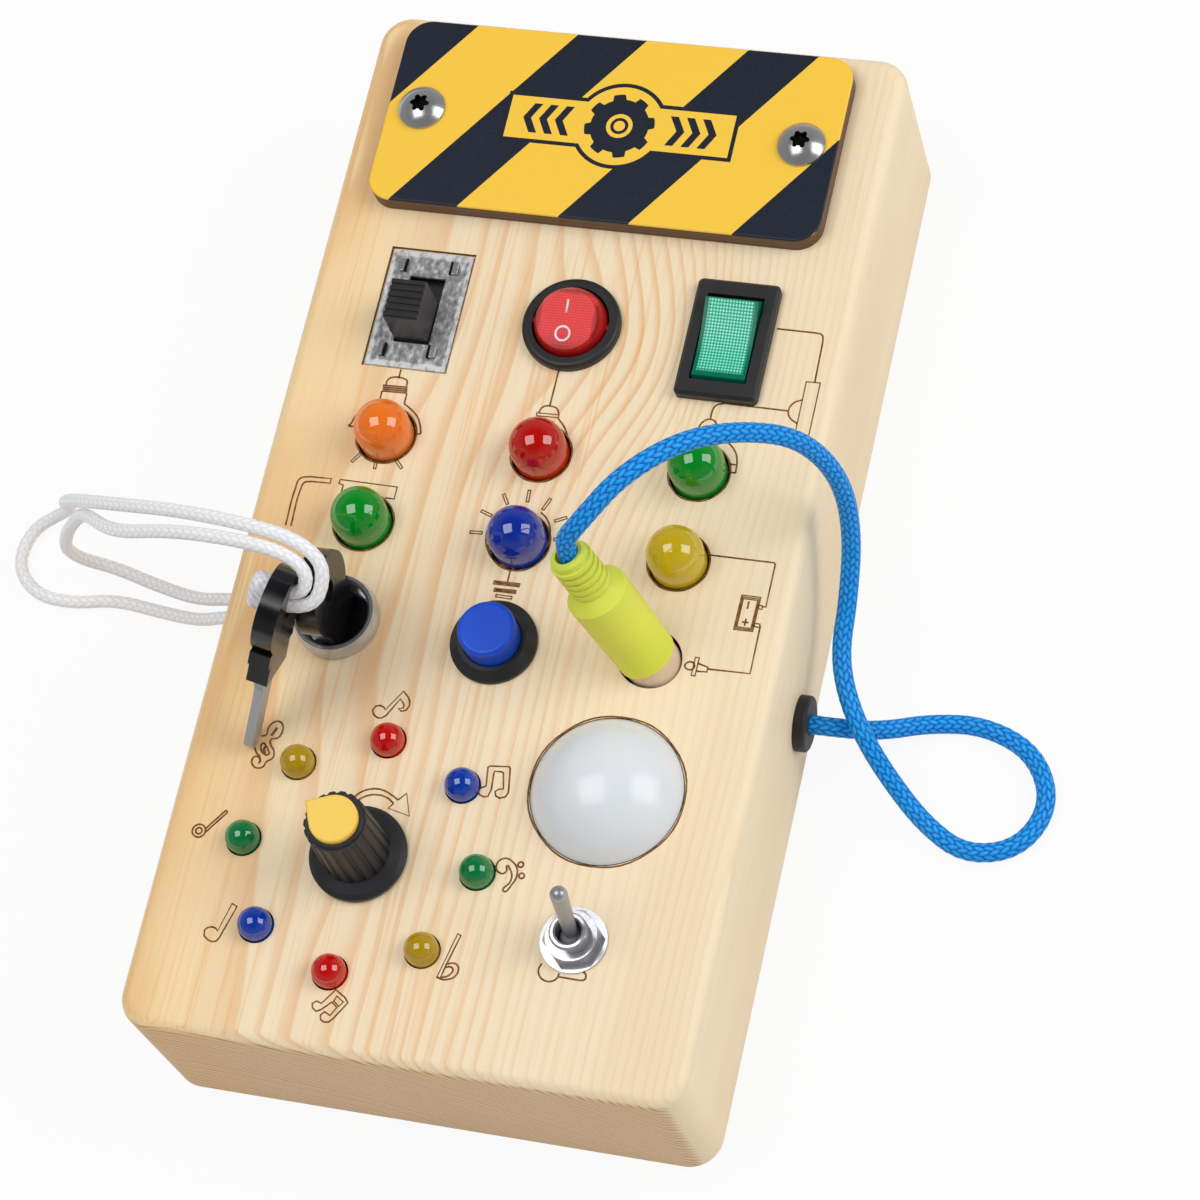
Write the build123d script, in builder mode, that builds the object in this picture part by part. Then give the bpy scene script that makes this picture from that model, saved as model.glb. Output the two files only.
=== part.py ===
from build123d import *
import os
from math import asin, cos, degrees, pi, radians, sin, sqrt, tan

# Wooden busy board: a pine block, routed hollow from the back, with switches and lamps let into
# its face.  Millimetres.  Origin at the middle of the back face, +Z out through the face,
# +Y towards the striped battery cover, +X to the right.

os.makedirs("parts", exist_ok=True)

# ---------------------------------------------------------------- driving dimensions
BOARD_W = 90.0
BOARD_L = 178.5
BOARD_T = 32.0
CORNER_R = 5.2
FACE_EDGE_R = 2.1
BACK_EDGE_R = 0.8
FRONT_WALL = 5.0
RIM_W = 9.0
CAVITY_R = 4.0

COVER_T = 3.0
COVER_LAP = 5.0
COVER_GAP = 0.25
COVER_SCREW_D = 2.2
COVER_SCREW_HEAD_D = 4.2
COVER_SCREW_L = 9.0
COVER_SCREW_IN = 13.25    # from the ends of the board to the outer screws

HOLE_GAP = 0.15           # room between a fitting and its hole in the wood
RUN_GAP = 0.05            # radial running clearance of turning parts
SLIDE_GAP = 0.15          # clearance of sliding parts
CLEAR = 0.3               # clearance between parts that pass each other

# places on the face: the layout spreads with the board, so each place is a share of the board's
# width or length, counted from its middle
COLUMN_AT = 0.28778        # left and right columns; the middle one is at zero
SWITCH_AT = 0.19720
UPPER_LAMPS_AT = 0.07059
LOWER_LAMPS_AT = -0.01569
LOCK_AT = -0.11036
PUSH_AT = -0.11317
KNOB_ACROSS = -0.14222
KNOB_AT = -0.32213
DOME_AT = -0.23333
TOGGLE_ACROSS = 0.26
TOGGLE_AT = -0.36863
PLUG_ACROSS = 0.27667
PLUG_AT = -0.10812

# battery cover and battery box
PLATE_MARGIN = 12.45       # how far the plate reaches past the battery box at each side
PLATE_H = 33.7
PLATE_SHIFT = -1.0         # the plate's middle from the board's, as it was screwed on
PLATE_T = 3.2
PLATE_R = 4.2
PLATE_RISE = 2.1           # how far the plate's middle lies above the battery box's
PLATE_EDGE_R = 0.3
PLATE_SCREW_IN = 5.9       # from the plate's sides to its screws
PLATE_SCREW_RISE = 0.3
PLATE_SCREW_D = 3.0
PLATE_SCREW_L = 9.0
PLATE_HEAD_D = 7.8
PLATE_HEAD_H = 2.2
PLATE_HEAD_EDGE = 0.5
STAR_CORE_R = 1.2
STAR_LOBE_R = 0.43
STAR_DEPTH = 1.54
INSERT_D = 5.0
INSERT_L = 5.0
CELL_D = 10.5
CELL_L = 44.5
CELL_NUB_D = 3.8
CELL_NUB_L = 0.9
BOX_WALL = 1.0
BOX_END_ROOM = 4.6
BOX_FLANGE = 1.6
BOX_TOP_ROOM = 0.95        # from the cavity's upper end to the box
BOX_BELOW_CELLS = 1.5
CELL_GAP = 0.2
CONTACT_T = 0.4
CONTACT_W = 9.0
CONTACT_COIL_R = 3.6
CONTACT_COIL_STEP = 0.6
CONTACT_WIRE = 1.2
CONTACT_TURNS = 3

# slide switch
SLIDE_PLATE_W = 13.6
SLIDE_PLATE_L = 20.9
SLIDE_PLATE_T = 0.5
SLIDE_RECESS = 0.2
SLIDE_POCKET_GAP = 0.4
SLIDE_WINDOW_W = 6.1
SLIDE_WINDOW_L = 12.0
SLIDE_BODY_W = 9.6
SLIDE_BODY_L = 18.0
SLIDE_BODY_H = 7.0
SLIDE_BODY_WALL = 1.2
LEVER_W = 5.7
LEVER_L = 7.0
LEVER_H = 8.0
LEVER_RIBS = 6
LEVER_RIB_H = 0.35
CARRIAGE_H = 1.6
CARRIAGE_LAP = 1.6         # how far the lever's foot reaches past it, above and below
SLIDE_TRAVEL = 4.2
SLIDE_PIN_PITCH = 4.7
SLIDE_PIN_W = 1.56

# round rocker switch
ROUND_BEZEL_D = 16.1
ROUND_BEZEL_H = 1.6
ROUND_BODY_D = 14.0
ROUND_BODY_H = 14.0
ROUND_BALL_R = 6.0
ROUND_FACE_H = 3.4
ROUND_PIVOT_Z = 0.6
ROUND_PIN_PITCH = 7.0
ROCKER_PIN_D = 1.6
ROCKER_FOOT = 3.0          # how far a rocker cap reaches below its pivot
HOUSING_FLOOR = 2.0
ROUND_TILT = 12.0

# rectangular rocker switch
RECT_BEZEL_W = 13.5
RECT_BEZEL_L = 20.6
RECT_BEZEL_H = 2.0
RECT_BEZEL_R = 0.9
RECT_BEZEL_CHAMFER = 0.5
RECT_PIN_REACH = 0.5       # how far the rocker's pin enters each side wall
RECT_PIN_PITCH = 6.0
RECT_BODY_W = 11.0
RECT_BODY_L = 18.4
RECT_BODY_H = 14.0
RECT_OPEN_W = 9.3
RECT_OPEN_L = 15.2
RECT_END_R = 7.3
RECT_FACE_H = 3.4
RECT_FACE_DIP = 0.9
RECT_PIVOT_Z = -0.3
RECT_TILT = 9.0
TERMINAL_T = 0.8
TERMINAL_W = 2.6
TERMINAL_L = 4.5

# push button
PUSH_FLANGE_D = 13.9
PUSH_FLANGE_H = 1.9
PUSH_FLANGE_RIM = 0.7
PUSH_FLANGE_EDGE = 0.7
PUSH_BODY_D = 11.9
PUSH_BODY_H = 14.0
PUSH_CAP_D = 9.2
PUSH_CAP_TOP = 6.2
PUSH_CAP_L = 13.6
PUSH_CAP_LIP = 1.0
PUSH_CAP_R = 0.7
PUSH_BODY_WALL = 0.6
PUSH_FLOOR = 1.5
PUSH_NUT_AF = 14.0
PUSH_NUT_T = 2.5
SPRING_R = 3.0
SPRING_WIRE = 0.5
SPRING_PITCH = 1.5

# key lock
LOCK_RING_D = 13.7
LOCK_RING_H = 3.0
LOCK_RING_BEVEL = 0.4
LOCK_RING_LAND = 0.5
LOCK_RING_EDGE = 1.5
LOCK_RECESS_D = 11.0
LOCK_RECESS = 1.2
LOCK_BODY_D = 12.0
LOCK_BODY_H = 17.0
LOCK_CYL_D = 10.4
LOCK_NUT_AF = 15.0
LOCK_NUT_T = 3.0
LOCK_TAIL = 1.4            # the cylinder's tail behind the lock's body
LOCK_TAIL_RIM = 0.6
KEY_TIP_ROOM = 0.8

# keys
BLADE_L = 15.5
BLADE_W = 4.6
BLADE_T = 1.5
BLADE_TIP = 0.92
BLADE_POINT = 1.4
BLADE_CUT = 0.64
BLADE_HEEL = 2.2
BLADE_ROOT = 1.0           # how far the blade runs into the head
KEY_HEAD_R = 6.8
KEY_HEAD_T = 3.4
KEY_NECK_W = 8.4
KEY_NECK_L = 4.0
KEY_WAIST_W = 10.6
KEY_WAIST_L = 2.4
KEY_HEAD_C = 11.7          # from the shoulder to the middle of the round head
KEY_EYE_W = 3.4
KEY_EYE_L = 6.2
KEY_EYE_C = 2.2            # from the middle of the round head to the eye
KEY_COLLAR_L = 1.6         # between the waist and the round head
SPARE_TIP = (-7.9, -22.2, 2.4)   # from the lock's middle and the face; sets the lean only
SPARE_EYE = (-0.8, -7.1, 24.6)
KNOT_T = 3.0
KNOT_L = 6.4
KNOT_W = 4.4
KNOT_R = 1.2
KNOT_GAP = 0.1

# toggle switch
TOGGLE_BODY_W = 8.0
TOGGLE_BODY_L = 13.0
TOGGLE_BODY_H = 9.5
BUSHING_D = 6.0
BUSHING_TOP = 4.8
BUSHING_BORE_D = 4.0
TOGGLE_NUT_AF = 8.0
TOGGLE_NUT_T = 2.0
TOGGLE_NUT_TURN = 15.0
TOGGLE_NUT_SLOPE = 40.0
BUSHING_CHAMFER = 0.3
WASHER_D = 10.4
WASHER_T = 0.5
TOGGLE_PIVOT_Z = 1.4
TOGGLE_BALL_R = 1.95
TOGGLE_STEM_R = 1.1
TOGGLE_TIP_R = 1.35
TOGGLE_ARM = 14.1
TOGGLE_TILT = 11.0

# rotary switch and knob
ROTARY_BODY_W = 16.4
ROTARY_BODY_H = 8.5
ROTARY_BUSH_D = 8.0
ROTARY_NUT_AF = 10.0
ROTARY_NUT_T = 2.0
ROTARY_SINK_D = 13.0
ROTARY_SINK = 2.6
ROTARY_BUSH_TOP = -0.4
ROTARY_FLOOR = 1.5
SHAFT_D = 6.0
SHAFT_TOP = 11.0
KNOB_SKIRT_D = 15.4
KNOB_LIFT = 0.5
KNOB_SKIRT_T = 1.3
KNOB_BASE_R = 5.4
KNOB_TOP_R = 4.9
KNOB_TOP = 15.3
KNOB_FLUTES = 18
KNOB_FLUTE_R = 0.5
KNOB_EDGE = 0.7            # bevel rows at the skirt
KNOB_CROWN = 0.5
POINTER_R = 3.8
POINTER_TIP = 5.4
POINTER_T = 1.9
POINTER_SINK = 0.8
POINTER_GAP = 0.05
POINTER_EDGE_R = 0.35
POINTER_ANGLE = 157.0

# lamps
LAMP_D = 9.05
LAMP_BALL_Z = 3.0
LAMP_FLANGE_D = 10.9
NOTE_LAMP_D = 5.35
NOTE_LAMP_BALL_Z = 0.8
NOTE_LAMP_FLANGE_D = 6.9
NOTE_LAMP_ROOM = 0.35      # from the ring of lamps to the nearest wall of the cavity
LAMP_FLANGE_T = 1.0
LAMP_GAP = 0.3             # room between a lamp and its hole in the wood
NOTE_LAMP_GAP = 0.2
LAMP_FOOT = 2.5            # from the back of the front wall to the circuit boards
LEG_D = 0.6
LEG_PITCH = 2.54
LEG_OUT = 1.2
DOME_D = 23.8
DOME_H = 7.5
DOME_WALL = 1.2
DOME_EDGE = 0.6
DOME_SKIRT_D = 23.4
DOME_FLANGE_D = 24.6

# circuit boards
PCB_T = 1.6
LAMP_PCB_SIDE = 6.1        # from the outer columns to the edges of the board
LAMP_PCB_END = 6.8         # from the lamp rows to the edges of the board
LAMP_BOSS_END = 3.25
NOTE_PCB_EDGE = 2.55       # from the ring of lamps to the edge of the round board
NOTE_BOSS_TURN = 22.5
DOME_PCB_D = 24.6
DOME_EAR_W = 4.8
DOME_LAMP_W = 5.0
DOME_LAMP_H = 1.4
BOSS_D = 4.6
PCB_SCREW_D = 1.8
PCB_SCREW_HEAD_D = 3.6
PCB_SCREW_HEAD_T = 1.3
PCB_SCREW_BITE = 1.0
BOSS_GAP = 0.1

# plug on its cord, and the cord grommets
PLUG_LEAN = (-0.321, 0.172, 0.931)
PEG_D = 8.8
PEG_DEPTH = 7.5
PEG_GAP = 0.5
PEG_IN_SLEEVE = 7.0
PEG_CHAMFER = 0.7
SLEEVE_START = 1.3
SLEEVE_D = 10.0
SLEEVE_L = 16.6
SLEEVE_SHOULDER = 1.8
NECK_D = 5.8
NECK_L = 8.2
NECK_RIBS = 5
NECK_RIB_W = 0.7
NECK_RIB_H = 0.18
NECK_RIB_START = 0.5
NECK_TAPER = 0.3
NECK_EDGE = 0.4
NECK_MOUTH_D = 3.9
NECK_MOUTH_DEPTH = 3.0
GROMMET_D = 9.0
GROMMET_T = 2.0
GROMMET_EDGE_R = 0.6
GROMMET_NECK_D = 6.4
GROMMET_Z = 11.0
RIGHT_GROMMET_Y = -18.7
LEFT_GROMMET_Y = -12.0
BLUE_D = 3.1
WHITE_D = 2.2
WHITE_PITCH = 3.2
CORD_SEAT = 1.0            # how deep a cord sits in its grommet
CORD_SEAT_GAP = 0.15

# ---------------------------------------------------------------- derived sizes
FACE = BOARD_T
WALL_BACK = FACE - FRONT_WALL
PCB_FRONT = WALL_BACK - LAMP_FOOT
CAVITY_W = BOARD_W - 2 * RIM_W
CAVITY_L = BOARD_L - 2 * RIM_W
COLUMN_X = COLUMN_AT * BOARD_W
SWITCH_Y = SWITCH_AT * BOARD_L
LAMP_ROWS = (UPPER_LAMPS_AT * BOARD_L, LOWER_LAMPS_AT * BOARD_L)
LOCK_X = -COLUMN_X
LOCK_Y = LOCK_AT * BOARD_L
PUSH_Y = PUSH_AT * BOARD_L
KNOB_X = KNOB_ACROSS * BOARD_W
KNOB_Y = KNOB_AT * BOARD_L
TOGGLE_X = TOGGLE_ACROSS * BOARD_W
TOGGLE_Y = TOGGLE_AT * BOARD_L
PLUG_X = PLUG_ACROSS * BOARD_W
PLUG_Y = PLUG_AT * BOARD_L
BOX_W = CELL_L + BOX_END_ROOM + 2 * BOX_WALL
BOX_L = 2 * (CELL_D + CELL_GAP) + 2 * BOX_WALL
BOX_H = CELL_D + BOX_WALL + BOX_BELOW_CELLS
BOX_Y = CAVITY_L / 2 - BOX_TOP_ROOM - BOX_L / 2
PLATE_W = BOX_W + 2 * PLATE_MARGIN
PLATE_Y = BOX_Y + PLATE_RISE
PLATE_SCREW_X = PLATE_W / 2 - PLATE_SCREW_IN
PLATE_SCREW_Y = PLATE_Y + PLATE_SCREW_RISE
COVER_SCREW_Y = BOARD_L / 2 - COVER_SCREW_IN
LAMP_PCB_W = 2 * (COLUMN_X + LAMP_PCB_SIDE)
LAMP_PCB_L = LAMP_ROWS[0] - LAMP_ROWS[1] + 2 * LAMP_PCB_END
NOTE_ANGLES = [135 - 45 * i for i in range(8)]
NOTE_RING_ROOM = min(CAVITY_W / 2 - abs(KNOB_X), CAVITY_L / 2 - abs(KNOB_Y))
NOTE_RING_R = NOTE_RING_ROOM - NOTE_LAMP_FLANGE_D / 2 - NOTE_LAMP_ROOM
DOME_BOSS = (DOME_FLANGE_D / 2 + BOSS_D / 2 + BOSS_GAP) / sqrt(2)
DOME_REACH = max(DOME_BOSS + DOME_EAR_W / 2, DOME_PCB_D / 2)
DOME_X = CAVITY_W / 2 - HOLE_GAP - DOME_REACH
DOME_Y = DOME_AT * BOARD_L


def at(x, y, z):
    """Plane parallel to the face at height z above the face."""
    return Plane((x, y, FACE + z))


lamp_spots = [(x, y) for y in LAMP_ROWS for x in (-COLUMN_X, 0, COLUMN_X)]


def on_ring(angle):
    """A place on the ring of note lamps."""
    return KNOB_X + NOTE_RING_R * cos(radians(angle)), KNOB_Y + NOTE_RING_R * sin(radians(angle))


note_spots = [on_ring(angle) for angle in NOTE_ANGLES]
plate_screw_spots = [(PLATE_SHIFT + s * PLATE_SCREW_X, PLATE_SCREW_Y) for s in (-1, 1)]
cover_screw_x = BOARD_W / 2 - RIM_W + COVER_LAP / 2
cover_screw_spots = [(s * cover_screw_x, y) for s in (-1, 1) for y in (-COVER_SCREW_Y, 0, COVER_SCREW_Y)]
lamp_boss_y = sum(LAMP_ROWS) / 2
lamp_boss_rise = LAMP_PCB_L / 2 - LAMP_BOSS_END
lamp_boss_spots = [(sx * COLUMN_X / 2, lamp_boss_y + sy * lamp_boss_rise) for sx in (-1, 1) for sy in (-1, 1)]
note_boss_spots = [on_ring(NOTE_BOSS_TURN + 90 * i) for i in range(4)]
dome_boss_spots = [(DOME_X + s * DOME_BOSS, DOME_Y - s * DOME_BOSS) for s in (-1, 1)]
boss_spots = lamp_boss_spots + note_boss_spots + dome_boss_spots
plug_plane = Plane((PLUG_X, PLUG_Y, FACE), z_dir=PLUG_LEAN)

# ---------------------------------------------------------------- wood block
# Solid pine, hollowed from the back; every fitting has its own hole through the front wall.
with BuildPart() as wood_block:
    with BuildSketch():
        RectangleRounded(BOARD_W, BOARD_L, CORNER_R)
    extrude(amount=BOARD_T)
    fillet(wood_block.faces().sort_by(Axis.Z)[-1].edges(), FACE_EDGE_R)
    chamfer(wood_block.faces().sort_by(Axis.Z)[0].edges(), BACK_EDGE_R)
    with BuildSketch():
        RectangleRounded(CAVITY_W, CAVITY_L, CAVITY_R)
    extrude(amount=WALL_BACK, mode=Mode.SUBTRACT)
    with BuildSketch():
        RectangleRounded(CAVITY_W + 2 * COVER_LAP, CAVITY_L + 2 * COVER_LAP, CAVITY_R)
    extrude(amount=COVER_T, mode=Mode.SUBTRACT)
    with BuildSketch(Plane.XY.offset(PCB_FRONT)):
        with Locations(*boss_spots):
            Circle(BOSS_D / 2)
    extrude(amount=LAMP_FOOT)
    with BuildSketch(Plane.XY.offset(PCB_FRONT)):
        with Locations(*boss_spots):
            Circle(PCB_SCREW_D / 2)
    extrude(amount=LAMP_FOOT + 2 * PCB_SCREW_BITE, mode=Mode.SUBTRACT)
    with BuildSketch(Plane.XY.offset(COVER_T)):
        with Locations(*cover_screw_spots):
            Circle(COVER_SCREW_D / 2)
    extrude(amount=COVER_SCREW_L - COVER_T + CLEAR, mode=Mode.SUBTRACT)
    # battery compartment and the inserts of its cover screws
    with BuildSketch(Plane.XY.offset(FACE)):
        with Locations((0, BOX_Y)):
            Rectangle(BOX_W + 2 * HOLE_GAP, BOX_L + 2 * HOLE_GAP)
    extrude(amount=-FRONT_WALL, mode=Mode.SUBTRACT)
    with BuildSketch(Plane.XY.offset(FACE)):
        with Locations((0, BOX_Y)):
            Rectangle(BOX_W + 2 * (BOX_FLANGE + HOLE_GAP), BOX_L + 2 * (BOX_FLANGE + HOLE_GAP))
    extrude(amount=-BOX_WALL - HOLE_GAP, mode=Mode.SUBTRACT)
    with BuildSketch(Plane.XY.offset(FACE)):
        with Locations(*plate_screw_spots):
            Circle(INSERT_D / 2)
    extrude(amount=-INSERT_L, mode=Mode.SUBTRACT)
    with BuildSketch(Plane.XY.offset(FACE)):
        with Locations(*plate_screw_spots):
            Circle(PLATE_SCREW_D / 2 + HOLE_GAP)
    extrude(amount=PLATE_T - PLATE_SCREW_L - CLEAR, mode=Mode.SUBTRACT)
    # slide switch
    with BuildSketch(Plane.XY.offset(FACE)):
        with Locations((-COLUMN_X, SWITCH_Y)):
            Rectangle(SLIDE_PLATE_W + 2 * SLIDE_POCKET_GAP, SLIDE_PLATE_L + 2 * SLIDE_POCKET_GAP)
    extrude(amount=-SLIDE_RECESS - SLIDE_PLATE_T, mode=Mode.SUBTRACT)
    with BuildSketch(Plane.XY.offset(FACE)):
        with Locations((-COLUMN_X, SWITCH_Y)):
            Rectangle(SLIDE_BODY_W + 2 * HOLE_GAP, SLIDE_BODY_L + 2 * HOLE_GAP)
    extrude(amount=-FRONT_WALL, mode=Mode.SUBTRACT)
    # rectangular rocker
    with BuildSketch(Plane.XY.offset(FACE)):
        with Locations((COLUMN_X, SWITCH_Y)):
            Rectangle(RECT_BODY_W + 2 * HOLE_GAP, RECT_BODY_L + 2 * HOLE_GAP)
    extrude(amount=-FRONT_WALL, mode=Mode.SUBTRACT)
    # round holes through the front wall
    with BuildSketch(Plane.XY.offset(FACE)):
        with Locations((0, SWITCH_Y)):
            Circle(ROUND_BODY_D / 2 + HOLE_GAP)
        with Locations(*lamp_spots):
            Circle(LAMP_D / 2 + LAMP_GAP)
        with Locations(*note_spots):
            Circle(NOTE_LAMP_D / 2 + NOTE_LAMP_GAP)
        with Locations((LOCK_X, LOCK_Y)):
            Circle(LOCK_BODY_D / 2 + HOLE_GAP)
        with Locations((0, PUSH_Y)):
            Circle(PUSH_BODY_D / 2 + HOLE_GAP)
        with Locations((DOME_X, DOME_Y)):
            Circle(DOME_D / 2 + HOLE_GAP)
        with Locations((TOGGLE_X, TOGGLE_Y)):
            Circle(BUSHING_D / 2 + HOLE_GAP)
        with Locations((KNOB_X, KNOB_Y)):
            Circle(ROTARY_BUSH_D / 2 + HOLE_GAP)
    extrude(amount=-FRONT_WALL, mode=Mode.SUBTRACT)
    with BuildSketch(Plane.XY.offset(FACE)):
        with Locations((KNOB_X, KNOB_Y)):
            Circle(ROTARY_SINK_D / 2)
    extrude(amount=-ROTARY_SINK, mode=Mode.SUBTRACT)
    # slanted socket of the plug
    with BuildSketch(plug_plane):
        Circle(PEG_D / 2 + PEG_GAP)
    extrude(amount=PEG_DEPTH + CLEAR, both=True, mode=Mode.SUBTRACT)
    # cord holes through the side walls
    with BuildSketch(Plane.YZ.offset(BOARD_W / 2)):
        with Locations((RIGHT_GROMMET_Y, GROMMET_Z)):
            Circle(GROMMET_NECK_D / 2)
    extrude(amount=-RIM_W, mode=Mode.SUBTRACT)
    with BuildSketch(Plane.YZ.offset(-BOARD_W / 2)):
        with Locations((LEFT_GROMMET_Y, GROMMET_Z)):
            Circle(GROMMET_NECK_D / 2)
    extrude(amount=RIM_W, mode=Mode.SUBTRACT)
wood_block.part.label = "wood_block"
export_step(wood_block.part, "parts/wood_block.step")

# ---------------------------------------------------------------- back cover
# Thin plywood, let in flush and held by six small countersunk screws.
with BuildPart() as back_cover:
    with BuildSketch():
        cover_lap = COVER_LAP - COVER_GAP
        RectangleRounded(CAVITY_W + 2 * cover_lap, CAVITY_L + 2 * cover_lap, CAVITY_R - COVER_GAP)
    extrude(amount=COVER_T)
    screw_r = COVER_SCREW_D / 2 + HOLE_GAP
    head_r = COVER_SCREW_HEAD_D / 2 + HOLE_GAP
    with Locations(*[Location((x, y, 0), (180, 0, 0)) for x, y in cover_screw_spots]):
        CounterSinkHole(screw_r, head_r, depth=COVER_T, counter_sink_angle=90)
back_cover.part.label = "back_cover"
export_step(back_cover.part, "parts/back_cover.step")

with BuildPart() as back_cover_screws:
    for x, y in cover_screw_spots:
        with BuildSketch(Plane((x, y, 0), x_dir=(1, 0, 0), z_dir=(0, -1, 0))):
            with BuildLine():
                head_depth = (COVER_SCREW_HEAD_D - COVER_SCREW_D) / 2
                shank_end = COVER_SCREW_L - COVER_SCREW_D / 2
                Polyline((0, 0), (COVER_SCREW_HEAD_D / 2, 0), (COVER_SCREW_D / 2, head_depth),
                         (COVER_SCREW_D / 2, shank_end), (0, COVER_SCREW_L), close=True)
            make_face()
        revolve(axis=Axis((x, y, 0), (0, 0, 1)))
back_cover_screws.part.label = "back_cover_screws"
export_step(back_cover_screws.part, "parts/back_cover_screws.step")

# ---------------------------------------------------------------- battery cover
# Plywood plate screwed over the battery compartment, with two button-head screws.
with BuildPart() as battery_cover:
    with BuildSketch(at(PLATE_SHIFT, PLATE_Y, 0)):
        RectangleRounded(PLATE_W, PLATE_H, PLATE_R)
    extrude(amount=PLATE_T)
    fillet(battery_cover.faces().sort_by(Axis.Z)[-1].edges(), PLATE_EDGE_R)
    with Locations(*[Location((x, y, FACE + PLATE_T)) for x, y in plate_screw_spots]):
        Hole(PLATE_SCREW_D / 2 + HOLE_GAP, depth=PLATE_T)
battery_cover.part.label = "battery_cover"
export_step(battery_cover.part, "parts/battery_cover.step")

head_rise = PLATE_HEAD_H - PLATE_HEAD_EDGE
head_ball = ((PLATE_HEAD_D / 2) ** 2 + head_rise**2) / (2 * head_rise)
with BuildPart() as battery_cover_screws:
    for x, y in plate_screw_spots:
        with BuildSketch(Plane((x, y, FACE + PLATE_T), x_dir=(1, 0, 0), z_dir=(0, -1, 0))):
            with BuildLine():
                RadiusArc((0, PLATE_HEAD_H), (PLATE_HEAD_D / 2, PLATE_HEAD_EDGE), head_ball)
                Polyline((PLATE_HEAD_D / 2, PLATE_HEAD_EDGE), (PLATE_HEAD_D / 2, 0),
                         (PLATE_SCREW_D / 2, 0), (PLATE_SCREW_D / 2, -PLATE_SCREW_L),
                         (0, -PLATE_SCREW_L), (0, PLATE_HEAD_H))
            make_face()
        revolve(axis=Axis((x, y, 0), (0, 0, 1)))
    # star drive: a six-lobed recess
    with BuildSketch(Plane.XY.offset(FACE + PLATE_T + PLATE_HEAD_H)):
        for x, y in plate_screw_spots:
            with Locations((x, y)):
                Circle(STAR_CORE_R)
                with PolarLocations(STAR_CORE_R, 6):
                    Circle(STAR_LOBE_R)
    extrude(amount=-STAR_DEPTH, mode=Mode.SUBTRACT)
battery_cover_screws.part.label = "battery_cover_screws"
export_step(battery_cover_screws.part, "parts/battery_cover_screws.step")

with BuildPart() as threaded_inserts:
    with BuildSketch(Plane.XY.offset(FACE)):
        with Locations(*plate_screw_spots):
            Circle(INSERT_D / 2)
            Circle(PLATE_SCREW_D / 2, mode=Mode.SUBTRACT)
    extrude(amount=-INSERT_L)
threaded_inserts.part.label = "threaded_inserts"
export_step(threaded_inserts.part, "parts/threaded_inserts.step")

# ---------------------------------------------------------------- battery box, cells, contacts
box_floor = -HOLE_GAP - BOX_H
with BuildPart() as battery_box:
    with BuildSketch(at(0, BOX_Y, -HOLE_GAP)):
        Rectangle(BOX_W + 2 * BOX_FLANGE, BOX_L + 2 * BOX_FLANGE)
    extrude(amount=-BOX_WALL)
    with BuildSketch(at(0, BOX_Y, -HOLE_GAP)):
        Rectangle(BOX_W, BOX_L)
    extrude(amount=box_floor + HOLE_GAP)
    with BuildSketch(at(0, BOX_Y, -HOLE_GAP)):
        Rectangle(BOX_W - 2 * BOX_WALL, BOX_L - 2 * BOX_WALL)
    extrude(amount=box_floor + HOLE_GAP + BOX_WALL, mode=Mode.SUBTRACT)
battery_box.part.label = "battery_box"
export_step(battery_box.part, "parts/battery_box.step")

cell_z = box_floor + BOX_WALL + CELL_D / 2
cell_rows = [(BOX_Y + s * (CELL_D + CELL_GAP) / 2, s) for s in (-1, 1)]
with BuildPart() as batteries:
    for y, s in cell_rows:
        with BuildSketch(Plane((-s * CELL_NUB_L / 2, y, FACE + cell_z), z_dir=(1, 0, 0))):
            Circle(CELL_D / 2)
        extrude(amount=(CELL_L - CELL_NUB_L) / 2, both=True)
        with BuildSketch(Plane((s * (CELL_L / 2 - CELL_NUB_L), y, FACE + cell_z), z_dir=(s, 0, 0))):
            Circle(CELL_NUB_D / 2)
        extrude(amount=CELL_NUB_L)
batteries.part.label = "batteries"
export_step(batteries.part, "parts/batteries.step")

contact_x = BOX_W / 2 - BOX_WALL
spring_room = contact_x - CONTACT_T - CELL_L / 2
with BuildPart() as battery_contacts:
    for y, s in cell_rows:
        with BuildSketch(Plane((s * contact_x, y, FACE + cell_z), z_dir=(-s, 0, 0))):
            Rectangle(CONTACT_W, CONTACT_W)
        extrude(amount=CONTACT_T)
        with BuildSketch(Plane((s * (contact_x - CONTACT_T), y, FACE + cell_z), z_dir=(-s, 0, 0))):
            Circle(CELL_NUB_D / 2)
        extrude(amount=spring_room)
        with BuildSketch(Plane((-s * contact_x, y, FACE + cell_z), z_dir=(s, 0, 0))):
            Rectangle(CONTACT_W, CONTACT_W)
        extrude(amount=CONTACT_T)
        # conical coil spring at the flat end of the cell, as its stacked turns
        step = spring_room / CONTACT_TURNS
        for turn in range(CONTACT_TURNS):
            coil_x = contact_x - CONTACT_T - turn * step
            coil_r = CONTACT_COIL_R - CONTACT_COIL_STEP * turn
            with BuildSketch(Plane((-s * coil_x, y, FACE + cell_z), z_dir=(s, 0, 0))):
                Circle(coil_r)
                Circle(coil_r - CONTACT_WIRE, mode=Mode.SUBTRACT)
            extrude(amount=step)
battery_contacts.part.label = "battery_contacts"
export_step(battery_contacts.part, "parts/battery_contacts.step")

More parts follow.
